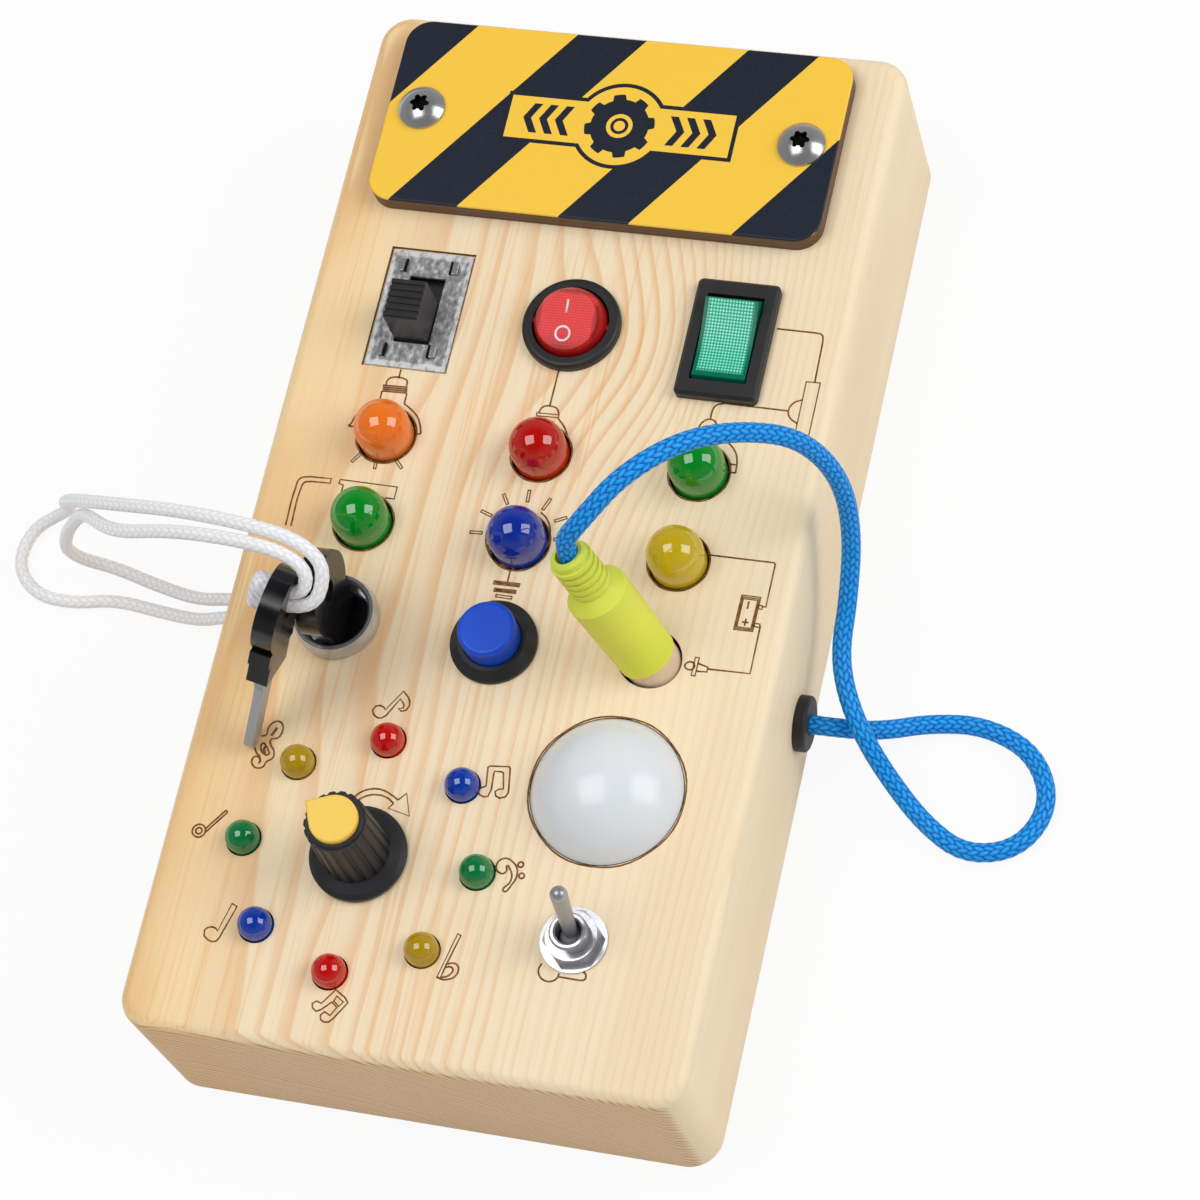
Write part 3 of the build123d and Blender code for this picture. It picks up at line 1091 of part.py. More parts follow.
# White diffusing dome over its own small board.
dome_ball = ((DOME_D / 2) ** 2 + DOME_H**2) / (2 * DOME_H)
dome_inner = dome_ball - DOME_WALL
dome_centre = DOME_H - dome_ball
inner_r = DOME_SKIRT_D / 2 - DOME_WALL
inner_z = dome_centre + sqrt(dome_inner**2 - inner_r**2)
with BuildPart() as dome_lens:
    with BuildSketch(Plane((DOME_X, DOME_Y, FACE), x_dir=(1, 0, 0), z_dir=(0, -1, 0))):
        with BuildLine():
            RadiusArc((0, DOME_H), (DOME_D / 2, 0), dome_ball)
            foot = -FRONT_WALL - LAMP_FOOT
            flange_back = -FRONT_WALL - LAMP_FLANGE_T
            Polyline((DOME_D / 2, 0), (DOME_SKIRT_D / 2, -DOME_EDGE), (DOME_SKIRT_D / 2, -FRONT_WALL),
                     (DOME_FLANGE_D / 2, -FRONT_WALL), (DOME_FLANGE_D / 2, flange_back),
                     (DOME_SKIRT_D / 2, flange_back), (DOME_SKIRT_D / 2, foot), (inner_r, foot),
                     (inner_r, inner_z))
            RadiusArc((inner_r, inner_z), (0, DOME_H - DOME_WALL), -dome_inner)
            Line((0, DOME_H - DOME_WALL), (0, DOME_H))
        make_face()
    revolve(axis=Axis((DOME_X, DOME_Y, 0), (0, 0, 1)))
dome_lens.part.label = "dome_lens"
export_step(dome_lens.part, "parts/dome_lens.step")


# ---------------------------------------------------------------- circuit boards
def leg_spots(spots):
    """Where the two legs of each lamp meet the board."""
    return [(x + side * LEG_PITCH / 2, y) for x, y in spots for side in (-1, 1)]


with BuildPart() as lamp_board:
    with BuildSketch(Plane((0, lamp_boss_y, PCB_FRONT))):
        Rectangle(LAMP_PCB_W, LAMP_PCB_L)
    extrude(amount=-PCB_T)
    with BuildSketch(Plane.XY.offset(PCB_FRONT)):
        with Locations(*leg_spots(lamp_spots)):
            Circle(LEG_D / 2)
        with Locations(*lamp_boss_spots):
            Circle(PCB_SCREW_D / 2 + HOLE_GAP)
    extrude(amount=-PCB_T, mode=Mode.SUBTRACT)
lamp_board.part.label = "lamp_board"
export_step(lamp_board.part, "parts/lamp_board.step")

with BuildPart() as note_lamp_board:
    with BuildSketch(Plane((KNOB_X, KNOB_Y, PCB_FRONT))):
        Circle(NOTE_RING_R + NOTE_PCB_EDGE)
        Rectangle(ROTARY_BODY_W + 2 * CLEAR, ROTARY_BODY_W + 2 * CLEAR, mode=Mode.SUBTRACT)
    extrude(amount=-PCB_T)
    with BuildSketch(Plane.XY.offset(PCB_FRONT)):
        with Locations(*leg_spots(note_spots)):
            Circle(LEG_D / 2)
        with Locations(*note_boss_spots):
            Circle(PCB_SCREW_D / 2 + HOLE_GAP)
    extrude(amount=-PCB_T, mode=Mode.SUBTRACT)
note_lamp_board.part.label = "note_lamp_board"
export_step(note_lamp_board.part, "parts/note_lamp_board.step")

with BuildPart() as dome_board:
    with BuildSketch(Plane((DOME_X, DOME_Y, PCB_FRONT))):
        Circle(DOME_PCB_D / 2)
        SlotCenterToCenter(2 * DOME_BOSS * sqrt(2), DOME_EAR_W, rotation=-45)
    extrude(amount=-PCB_T)
    with BuildSketch(Plane((DOME_X, DOME_Y, PCB_FRONT))):
        Rectangle(DOME_LAMP_W, DOME_LAMP_W)
    extrude(amount=DOME_LAMP_H)
    with BuildSketch(Plane.XY.offset(PCB_FRONT)):
        with Locations(*dome_boss_spots):
            Circle(PCB_SCREW_D / 2 + HOLE_GAP)
    extrude(amount=-PCB_T, mode=Mode.SUBTRACT)
dome_board.part.label = "dome_board"
export_step(dome_board.part, "parts/dome_board.step")

with BuildPart() as board_screws:
    with BuildSketch(Plane.XY.offset(PCB_FRONT - PCB_T)):
        with Locations(*boss_spots):
            Circle(PCB_SCREW_D / 2)
    extrude(amount=PCB_T + LAMP_FOOT + PCB_SCREW_BITE)
    with BuildSketch(Plane.XY.offset(PCB_FRONT - PCB_T)):
        with Locations(*boss_spots):
            Circle(PCB_SCREW_HEAD_D / 2)
    extrude(amount=-PCB_SCREW_HEAD_T)
board_screws.part.label = "board_screws"
export_step(board_screws.part, "parts/board_screws.step")

# ---------------------------------------------------------------- plug
# A wooden peg pushed into a soft moulded sleeve; it leans towards the upper left in its socket.
with BuildPart() as plug_peg:
    with BuildSketch(plug_plane.offset(-PEG_DEPTH)):
        Circle(PEG_D / 2)
    extrude(amount=PEG_DEPTH + SLEEVE_START + PEG_IN_SLEEVE)
    chamfer(plug_peg.faces().sort_by(Axis((PLUG_X, PLUG_Y, FACE), PLUG_LEAN))[0].edges(), PEG_CHAMFER)
plug_peg.part.label = "plug_peg"
export_step(plug_peg.part, "parts/plug_peg.step")

shoulder = SLEEVE_START + SLEEVE_L
neck_base = shoulder + SLEEVE_SHOULDER
sleeve_top = neck_base + NECK_L
plug_side = plug_plane.x_dir.cross(plug_plane.z_dir)
section = Plane((PLUG_X, PLUG_Y, FACE), x_dir=plug_plane.x_dir, z_dir=plug_side)
with BuildPart() as plug_sleeve:
    with BuildSketch(section):
        with BuildLine():
            Polyline((0, SLEEVE_START), (SLEEVE_D / 2 - NECK_TAPER, SLEEVE_START), (SLEEVE_D / 2, shoulder),
                     (NECK_D / 2 + NECK_TAPER, neck_base), (NECK_D / 2, sleeve_top - NECK_EDGE),
                     (NECK_D / 2 - NECK_EDGE, sleeve_top), (0, sleeve_top), close=True)
        make_face()
    revolve(axis=Axis((PLUG_X, PLUG_Y, FACE), PLUG_LEAN))
    for rib in range(NECK_RIBS):
        with BuildSketch(plug_plane.offset(neck_base + NECK_RIB_START + 2 * rib * NECK_RIB_W)):
            Circle(NECK_D / 2 + NECK_TAPER + NECK_RIB_H)
        extrude(amount=NECK_RIB_W)
    with BuildSketch(plug_plane.offset(SLEEVE_START)):
        Circle(PEG_D / 2)
    extrude(amount=PEG_IN_SLEEVE, mode=Mode.SUBTRACT)
    with BuildSketch(plug_plane.offset(sleeve_top)):
        Circle(NECK_MOUTH_D / 2)
    extrude(amount=-NECK_MOUTH_DEPTH, mode=Mode.SUBTRACT)
plug_sleeve.part.label = "plug_sleeve"
export_step(plug_sleeve.part, "parts/plug_sleeve.step")


# ---------------------------------------------------------------- grommets
def make_grommet(side, y, cord_d, cord_spots):
    """Rubber grommet on a side wall: a flange outside and a plug through the wood."""
    outside = Plane((side * BOARD_W / 2, y, GROMMET_Z), x_dir=(0, 1, 0), z_dir=(side, 0, 0))
    with BuildPart() as grommet:
        with BuildSketch(outside):
            Circle(GROMMET_D / 2)
        extrude(amount=GROMMET_T)
        fillet(grommet.faces().sort_by(Axis.X)[-1 if side > 0 else 0].edges(), GROMMET_EDGE_R)
        with BuildSketch(outside):
            Circle(GROMMET_NECK_D / 2)
        extrude(amount=-RIM_W)
        with BuildSketch(outside.offset(GROMMET_T)):
            with Locations(*cord_spots):
                Circle(cord_d / 2 + CORD_SEAT_GAP)
        extrude(amount=-CORD_SEAT, mode=Mode.SUBTRACT)
    return grommet


right_grommet = make_grommet(1, RIGHT_GROMMET_Y, BLUE_D, [(0, 0)])
right_grommet.part.label = "right_grommet"
export_step(right_grommet.part, "parts/right_grommet.step")
left_grommet = make_grommet(-1, LEFT_GROMMET_Y, WHITE_D, [(-WHITE_PITCH / 2, 0), (WHITE_PITCH / 2, 0)])
left_grommet.part.label = "left_grommet"
export_step(left_grommet.part, "parts/left_grommet.step")


# ---------------------------------------------------------------- cords
def corner_radii(points):
    """The arc that each corner of a cord's route has room for."""
    radii = []
    for before, corner, after in zip(points, points[1:], points[2:]):
        run_in = Vector(*corner) - Vector(*before)
        run_out = Vector(*after) - Vector(*corner)
        turn = radians(run_in.get_angle(run_out))
        radii.append(0.45 * min(run_in.length, run_out.length) / tan(turn / 2))
    return radii


def make_cord(name, points, diameter):
    """A round cord along straight runs joined by arcs."""
    radii = corner_radii(points)
    with BuildPart() as cord:
        with BuildLine() as route:
            FilletPolyline(*points, radius=radii)
        path = route.wires()[0]
        with BuildSketch(Plane(path @ 0, z_dir=path % 0)):
            Circle(diameter / 2)
        sweep(path=path)
    section_area = pi * diameter**2 / 4
    ratio = cord.part.volume / (section_area * path.length)
    print(f"{name}: length {path.length:.1f}, volume over section times length {ratio:.4f}")
    print("  radii", " ".join(f"{r:.1f}" for r in radii))
    return cord


def lift(points):
    """Routes are given from the face; the model's zero is the back."""
    return [(x, y, z + FACE) for x, y, z in points]


def on_eye(along, through):
    """A point in the spare key's eye: so far along the key and so far out of its right face."""
    return tuple(spare_eye + spare_dir * along + spare_normal * through)


cord_x = BOARD_W / 2 + GROMMET_T - CORD_SEAT
cord_foot = tuple(plug_plane.offset(sleeve_top - NECK_MOUTH_DEPTH).origin)
cord_bend = tuple(plug_plane.offset(sleeve_top + 2.2).origin)
BLUE_ROUTE = [cord_foot, cord_bend] + lift([
    (19.2, -12.4, 33.8), (24.9, -6.1, 38.0), (32.0, 1.5, 36.0), (39.2, 6.5, 31.0),
    (46.3, 10.1, 23.0), (50.7, 10.0, 11.0), (51.4, 6.9, -2.0), (50.5, -0.3, -13.0),
    (50.1, -7.4, -16.5), (52.0, -13.6, -17.5), (55.7, -19.9, -19.5), (60.1, -24.3, -26.0),
    (66.1, -29.3, -30.4), (73.3, -33.3, -30.4), (81.5, -31.0, -30.4), (85.0, -23.0, -30.4),
    (81.0, -15.0, -30.4), (72.5, -11.5, -30.4), (64.0, -12.4, -30.0), (57.0, -16.4, -26.0),
]) + [(51.6, RIGHT_GROMMET_Y, GROMMET_Z), (cord_x, RIGHT_GROMMET_Y, GROMMET_Z)]
outer_hole_y = LEFT_GROMMET_Y - WHITE_PITCH / 2
OUTER_ROUTE = [on_eye(-1.2, knot_face), on_eye(-1.2, 5.2)] + lift([
    (-19.3, -22.8, 28.0), (-23.0, -20.2, 31.5), (-31.7, -18.5, 31.5), (-44.8, -16.2, 28.0),
    (-59.4, -13.2, 20.0), (-68.0, -10.5, 13.0), (-76.0, -6.0, 1.0), (-81.0, -1.4, -12.0),
    (-84.9, 2.0, -22.0), (-89.2, 3.8, -28.6), (-94.6, 1.0, -30.8), (-95.4, -5.8, -30.8),
    (-90.6, -10.6, -30.8), (-83.5, -11.2, -30.8), (-76.5, -9.6, -30.8), (-68.0, -10.7, -30.8),
    (-59.4, -12.6, -27.4),
]) + [(-52.0, outer_hole_y, GROMMET_Z), (-cord_x, outer_hole_y, GROMMET_Z)]
inner_hole_y = LEFT_GROMMET_Y + WHITE_PITCH / 2
INNER_ROUTE = [on_eye(1.2, knot_face), on_eye(1.2, 3.0)] + lift([
    (-21.9, -24.0, 28.2), (-24.8, -22.3, 31.0), (-32.6, -21.0, 31.0), (-45.9, -19.2, 27.0),
    (-58.1, -18.0, 20.0), (-67.0, -12.0, 12.0), (-73.5, -8.5, 0.0), (-79.4, -6.4, -11.0),
    (-83.0, -5.8, -20.0), (-82.6, -4.6, -27.0), (-77.8, -3.9, -30.8), (-70.0, -6.0, -30.8),
    (-60.4, -9.2, -26.8),
]) + [(-51.8, inner_hole_y, GROMMET_Z), (-cord_x, inner_hole_y, GROMMET_Z)]

blue_cord = make_cord("blue_cord", BLUE_ROUTE, BLUE_D)
blue_cord.part.label = "blue_cord"
export_step(blue_cord.part, "parts/blue_cord.step")
white_cord_outer = make_cord("white_cord_outer", OUTER_ROUTE, WHITE_D)
white_cord_outer.part.label = "white_cord_outer"
export_step(white_cord_outer.part, "parts/white_cord_outer.step")
white_cord_inner = make_cord("white_cord_inner", INNER_ROUTE, WHITE_D)
white_cord_inner.part.label = "white_cord_inner"
export_step(white_cord_inner.part, "parts/white_cord_inner.step")
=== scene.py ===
import math

import bpy
from mathutils import Matrix, Vector


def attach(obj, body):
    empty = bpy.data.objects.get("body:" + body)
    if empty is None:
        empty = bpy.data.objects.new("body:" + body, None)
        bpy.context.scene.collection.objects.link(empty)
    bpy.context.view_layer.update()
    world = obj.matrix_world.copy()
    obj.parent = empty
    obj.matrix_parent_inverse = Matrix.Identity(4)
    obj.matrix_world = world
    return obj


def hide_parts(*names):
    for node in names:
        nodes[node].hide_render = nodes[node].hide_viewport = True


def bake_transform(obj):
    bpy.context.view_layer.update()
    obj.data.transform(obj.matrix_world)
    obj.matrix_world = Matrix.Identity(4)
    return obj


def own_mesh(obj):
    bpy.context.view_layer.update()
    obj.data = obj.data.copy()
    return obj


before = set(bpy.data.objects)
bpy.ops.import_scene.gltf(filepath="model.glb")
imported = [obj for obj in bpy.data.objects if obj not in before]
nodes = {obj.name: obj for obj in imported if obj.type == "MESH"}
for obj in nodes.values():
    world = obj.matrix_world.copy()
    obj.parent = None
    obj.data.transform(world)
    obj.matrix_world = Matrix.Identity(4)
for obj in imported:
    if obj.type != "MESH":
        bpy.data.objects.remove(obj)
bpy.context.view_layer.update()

bpy.context.scene.view_settings.view_transform = "Standard"


# The view: a long lens above the lower right corner of the board, rolled a little, so that the board
# leans to the left and its lower end and right side both show.
bpy.ops.object.camera_add(
    location=(0.1864, -0.2417, 0.6100),
    rotation=(math.radians(23.938), math.radians(11.487), math.radians(12.781)),
)
camera = bpy.context.object
camera.data.lens = 125.16
camera.data.sensor_width = 36
camera.data.shift_x = 0.0073
camera.data.shift_y = 0.0068
bpy.context.scene.camera = camera


# The pull cord of the plug: a round braid of twelve blue polyester strands, limp and a little shiny.
# It comes out of the grommet in the right side, lies in one loop on the table and rises in an arch to
# the plug, where its end is glued into the rubber sleeve.
mm = 0.001
BLUE_ROUTE = [
    (46.0, -18.7, 11.0), (51.6, -18.7, 11.0), (57.0, -16.4, 6.0), (64.0, -12.4, 2.0), (72.5, -11.5, 1.6),
    (81.0, -15.0, 1.6), (85.0, -23.0, 1.6), (81.5, -31.0, 1.6), (73.3, -33.3, 1.6), (66.1, -29.3, 1.6),
    (60.1, -24.3, 6.0), (55.7, -19.9, 12.5), (52.0, -13.6, 14.5), (50.1, -7.4, 15.5), (50.5, -0.3, 19.0),
    (51.4, 6.9, 30.0), (50.7, 10.0, 43.0), (46.3, 10.1, 55.0), (39.2, 6.5, 63.0), (32.0, 1.5, 68.0),
    (24.9, -6.1, 70.0), (19.2, -12.4, 65.8), (15.235, -14.121, 60.032), (16.905, -15.015, 55.189),
]


class Value:
    """A number that varies over a surface; plain arithmetic on it adds the nodes that work it out."""

    def __init__(self, owner, socket):
        self.owner = owner
        self.socket = socket

    def maths(self, operation, *numbers, clamp=False):
        settings = {"operation": operation, "use_clamp": clamp}
        return self.owner.node("Math", settings, dict(enumerate(numbers)))

    def __add__(self, other):
        return self.maths("ADD", self, other)

    def __sub__(self, other):
        return self.maths("SUBTRACT", self, other)

    def __mul__(self, other):
        return self.maths("MULTIPLY", self, other)

    def __truediv__(self, other):
        return self.maths("DIVIDE", self, other)

    def __mod__(self, other):
        return self.maths("FLOORED_MODULO", self, other)

    def __gt__(self, other):
        return self.maths("GREATER_THAN", self, other)

    def __lt__(self, other):
        return self.maths("LESS_THAN", self, other)

    def __neg__(self):
        return self.maths("MULTIPLY", self, -1)

    def __abs__(self):
        return self.maths("ABSOLUTE", self)

    def __rsub__(self, other):
        return self.maths("SUBTRACT", other, self)

    def __rtruediv__(self, other):
        return self.maths("DIVIDE", other, self)

    __radd__ = __add__
    __rmul__ = __mul__

    def clipped(self):
        """The same number, kept between 0 and 1."""
        return self.maths("ADD", self, 0, clamp=True)

    def step(self, low, high):
        """A soft step: 0 below low, 1 above high."""
        settings = {"interpolation_type": "SMOOTHSTEP"}
        return self.owner.node("MapRange", settings, {"Value": self, "From Min": low, "From Max": high})

    def sine(self):
        return self.maths("SINE", self)

    def exponent(self):
        return self.maths("EXPONENT", self)

    def root(self):
        return self.maths("SQRT", self)

    def most(self, other):
        return self.maths("MAXIMUM", self, other)


class Nodes:
    """The nodes of one material, or of the room, and the ways to make more of them."""

    def __init__(self, tree):
        self.tree = tree

    def node(self, kind, settings, sockets, out=0):
        made = self.tree.nodes.new("ShaderNode" + kind)
        for name, setting in settings.items():
            if name == "stops":
                ramp = made.color_ramp
                while len(ramp.elements) < len(setting):
                    ramp.elements.new(1)
                for element, (place, colour) in zip(ramp.elements, setting):
                    element.position = place
                    element.color = (*colour, 1)
            else:
                setattr(made, name, setting)
        self.feed(made, sockets)
        return Value(self, made.outputs[out])

    def feed(self, made, sockets):
        for name, given in sockets.items():
            if isinstance(given, Value):
                self.tree.links.new(given.socket, made.inputs[name])
            else:
                made.inputs[name].default_value = given

    def place(self, *scale):
        """Object coordinates in millimetres, each axis stretched by its scale."""
        spot = self.node("TexCoord", {}, {}, out="Object")
        stretch = [1000 * factor for factor in scale or (1, 1, 1)]
        return self.node("VectorMath", {"operation": "MULTIPLY"}, {0: spot, 1: stretch})

    def parts(self, vector):
        """The X, Y and Z numbers of a vector."""
        split = self.tree.nodes.new("ShaderNodeSeparateXYZ")
        self.feed(split, {0: vector})
        return [Value(self, socket) for socket in split.outputs]

    def facing(self):
        """The X, Y and Z of the way that the surface faces."""
        return self.parts(self.node("NewGeometry", {}, {}, out="Normal"))

    def reach(self, origin, along):
        """How many millimetres a place lies beyond an origin, along a direction."""
        spot = self.node("VectorMath", {"operation": "SUBTRACT"}, {0: self.place(), 1: origin})
        return self.node("VectorMath", {"operation": "DOT_PRODUCT"}, {0: spot, 1: along}, out="Value")

    def seen(self):
        """1 for what the eye sees, straight or by way of metal or glass."""
        rays = ("Is Camera Ray", "Is Glossy Ray", "Is Transmission Ray")
        straight, mirrored, through = [self.node("LightPath", {}, {}, out=ray) for ray in rays]
        return straight.most(mirrored).most(through)

    def noise(self, vector, scale, detail=3.0, rough=0.5):
        sockets = {"Vector": vector, "Scale": scale, "Detail": detail, "Roughness": rough}
        return self.node("TexNoise", {}, sockets)

    def ramp(self, number, *stops):
        return self.node("ValToRGB", {"stops": stops}, {0: number})

    def mix(self, amount, first, second, blend="MIX"):
        colours = [(*c, 1) if isinstance(c, tuple) else c for c in (first, second)]
        settings = {"data_type": "RGBA", "blend_type": blend}
        return self.node("Mix", settings, {0: amount, 6: colours[0], 7: colours[1]}, out=2)

    def bump(self, height, depth):
        """Relief of so many millimetres, for the Normal socket."""
        return self.node("Bump", {}, {"Height": height, "Distance": depth * mm, "Strength": 1.0})


class Finish(Nodes):
    """One material: a Principled shader with its constants, and the nodes that vary it."""

    def __init__(self, name, **constants):
        self.material = bpy.data.materials.new(name)
        self.material.use_nodes = True
        super().__init__(self.material.node_tree)
        self.shader = self.tree.nodes["Principled BSDF"]
        for socket, number in constants.items():
            self.shader.inputs[socket.replace("_", " ")].default_value = number

    def paint(self, **sockets):
        """Feeds the shader's own sockets."""
        self.feed(self.shader, {name.replace("_", " "): given for name, given in sockets.items()})


def srgb(red, green, blue):
    """A colour as a paint chart gives it, 0 to 255, made linear."""
    return tuple(
        c / 12.92 if c <= 0.04045 else ((c + 0.055) / 1.055) ** 2.4
        for c in (red / 255, green / 255, blue / 255)
    )


def smooth_line(name, route):
    """The points of one smooth line that a route in millimetres steers."""
    curve = bpy.data.curves.new(name, "CURVE")
    curve.dimensions = "3D"
    spline = curve.splines.new("NURBS")
    spline.points.add(len(route) - 1)
    for point, (x, y, z) in zip(spline.points, route):
        point.co = (x * mm, y * mm, z * mm, 1)
    spline.order_u = 3
    spline.use_endpoint_u = True
    spline.resolution_u = 24
    thread = bpy.data.objects.new(name, curve)
    bpy.context.collection.objects.link(thread)
    line = bpy.data.meshes.new_from_object(thread)
    points = [vertex.co.copy() for vertex in line.vertices]
    bpy.data.objects.remove(thread)
    bpy.data.meshes.remove(line)
    return points


def even_stations(points, step):
    """Places at an equal step along a line, each with its direction and its distance from the start."""
    spans = [(b - a).length for a, b in zip(points, points[1:])]
    total = sum(spans)
    count = round(total / step)
    stations, span, passed = [], 0, 0.0
    for number in range(count + 1):
        wanted = total * number / count
        while span < len(spans) - 1 and passed + spans[span] < wanted:
            passed += spans[span]
            span += 1
        share = min(1, (wanted - passed) / spans[span])
        ahead = (points[span + 1] - points[span]).normalized()
        stations.append((points[span].lerp(points[span + 1], share), ahead, wanted))
    return stations


def braid(name, points, diameter, pairs, lay, relief, around, step):
    """A round braided cord: two sets of helical strands that go over and under each other."""
    spots, corners, walls = [], [], []
    side = Vector((0, 0, 1))
    stations = even_stations(points, step)
    for centre, ahead, along in stations:
        side = (side - ahead * side.dot(ahead)).normalized()
        other = ahead.cross(side)
        for number in range(around):
            turn = number / around
            left = pairs * turn + along / lay
            right = pairs * turn - along / lay
            over = 0.35 * math.cos(2 * math.pi * pairs * turn)
            crowns = [math.sqrt(1 - 0.9 * (2 * (lean % 1) - 1) ** 2) for lean in (left, right)]
            height = max(crowns[0] - over, crowns[1] + over) / 1.35
            radius = diameter / 2 - relief * (1 - height)
            angle = 2 * math.pi * turn
            spots.append(centre + radius * (math.cos(angle) * side + math.sin(angle) * other))
    for ring in range(len(stations) - 1):
        for number in range(around):
            after = (number + 1) % around
            low, high = ring * around, (ring + 1) * around
            walls.append((low + number, low + after, high + after, high + number))
            near, far = stations[ring][2] / mm, stations[ring + 1][2] / mm
            corners += [(number / around, near), ((number + 1) / around, near)]
            corners += [((number + 1) / around, far), (number / around, far)]
    last = len(spots) - around
    walls.append(tuple(reversed(range(around))))
    walls.append(tuple(range(last, last + around)))
    corners += [(number / around, 0.0) for number in range(2 * around)]
    mesh = bpy.data.meshes.new(name)
    mesh.from_pydata(spots, [], walls)
    layer = mesh.uv_layers.new(name="lay")
    for corner, uv in zip(layer.data, corners):
        corner.uv = uv
    mesh.shade_smooth()
    cord = bpy.data.objects.new(name, mesh)
    bpy.context.collection.objects.link(cord)
    return cord


def braid_finish(name, crown, painted_valley_shade, pairs, lay, fibres):
    """Polyester yarn: painted bright on the crown of each strand as if lit, painted dark as shade where
    strands dive, with fine fibres.
    """
    yarn = Finish(name, Specular_IOR_Level=0.2)
    turn, along, _ = yarn.parts(yarn.node("UVMap", {"uv_map": "lay"}, {}))
    left = (turn * pairs + along / (lay / mm)) % 1
    right = (turn * pairs - along / (lay / mm)) % 1
    over = yarn.node("Math", {"operation": "COSINE"}, {0: turn * (2 * math.pi * pairs)}) * 0.35
    tops = []
    for lean, sign in ((left, -1), (right, 1)):
        across = lean * 2 - 1
        tops.append((1 - across * across * 0.9).root() + over * sign)
    top = tops[0].most(tops[1]) / 1.35
    first = tops[0] > tops[1]
    across = left * first + right * (1 - first)
    strand = (across * (2 * math.pi * fibres)).sine()
    fleck = yarn.noise(yarn.place(), 1.4, 2.0)
    # The tone is painted light and shade of the weave, lit crowns and shaded valleys, with the real fibres
    # and flecks mixed in.
    tone = (top.step(0.6, 1.0) * 0.75 + strand * 0.12 + fleck * 0.5 - 0.08).clipped()
    yarn.paint(
        Base_Color=yarn.mix(tone, painted_valley_shade, crown),
        Roughness=0.62 - tone * 0.3,
        Normal=yarn.bump(strand, 0.012),
    )
    return yarn


BLUE_D = 3.1 * mm
BLUE_PAIRS = 6
BLUE_LAY = 1.6 * mm
blue_line = smooth_line("blue_line", BLUE_ROUTE)
blue_cord = braid("blue_braid", blue_line, BLUE_D, BLUE_PAIRS, BLUE_LAY, 0.22 * mm, 60, 0.25 * mm)
blue_yarn = braid_finish("blue polyester", srgb(34, 176, 255), srgb(0, 74, 178), BLUE_PAIRS, BLUE_LAY, 3)
blue_cord.data.materials.append(blue_yarn.material)
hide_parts("blue_cord")
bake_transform(blue_cord)


# The key lanyard: a thin white braid, doubled into a loop. Both strands come out of the grommet in the
# left side, turn back on the table and climb over the edge to the knot in the spare key.
OUTER_ROUTE = [
    (-46.0, -13.6, 11.0), (-52.0, -13.6, 11.0), (-59.4, -12.6, 4.6), (-68.0, -10.7, 1.2),
    (-76.5, -9.6, 1.2), (-83.5, -11.2, 1.2), (-90.6, -10.6, 1.2), (-95.4, -5.8, 1.2), (-94.6, 1.0, 1.2),
    (-89.2, 3.8, 3.4), (-84.9, 2.0, 10.0), (-81.0, -1.4, 20.0), (-76.0, -6.0, 33.0), (-68.0, -10.5, 45.0),
    (-59.4, -13.2, 52.0), (-44.8, -16.2, 60.0), (-31.7, -18.5, 63.5), (-23.0, -20.2, 63.5),
    (-19.3, -22.8, 60.0), (-21.980, -28.200, 54.541), (-28.747, -27.194, 56.021),
]
INNER_ROUTE = [
    (-46.0, -10.4, 11.0), (-51.8, -10.4, 11.0), (-60.4, -9.2, 5.2), (-70.0, -6.0, 1.2), (-77.8, -3.9, 1.2),
    (-82.6, -4.6, 5.0), (-83.0, -5.8, 12.0), (-79.4, -6.4, 21.0), (-73.5, -8.5, 32.0), (-67.0, -12.0, 44.0),
    (-58.1, -18.0, 52.0), (-45.9, -19.2, 59.0), (-32.6, -21.0, 63.0), (-24.8, -22.3, 63.0),
    (-21.9, -24.0, 60.2), (-23.493, -26.579, 56.925), (-28.133, -25.889, 57.940),
]
WHITE_D = 2.2 * mm
WHITE_PAIRS = 4
WHITE_LAY = 1.5 * mm
white_yarn = braid_finish(
    "white polyester", srgb(255, 255, 255), srgb(232, 232, 237), WHITE_PAIRS, WHITE_LAY, 3,
)
lanyard = (
    ("white_braid_outer", OUTER_ROUTE, "white_cord_outer", 0.1848, ("key_cord_knot", "spare_key")),
    ("white_braid_inner", INNER_ROUTE, "white_cord_inner", 0.1452, ()),
)
for name, route, node, length, carried in lanyard:
    strand_line = smooth_line(name + "_line", route)
    strand = braid(name, strand_line, WHITE_D, WHITE_PAIRS, WHITE_LAY, 0.16 * mm, 36, 0.25 * mm)
    strand.data.materials.append(white_yarn.material)
    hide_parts(node)
    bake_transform(strand)


# The block: one piece of planed pine, hollowed from behind. Its rings are wide and orange at the left,
# where the face lies along them, and close and pale to the right; a bulge in the trunk swings them round
# beside the red rocker. The laser that cut the holes left their walls brown.
def clad(finish, *names):
    """Gives nodes of the frame their finish."""
    for name in names:
        nodes[name].material_slots[0].material = finish.material


FACE = 32.0
PITH_X = -38.0
PITH_Z = FACE - 100.0
RING = 1.0
BULGE_AT = (13, 33)
BULGE_SIZE = (17, 24)
CAVITY_HALF = (42.6, 86.8)


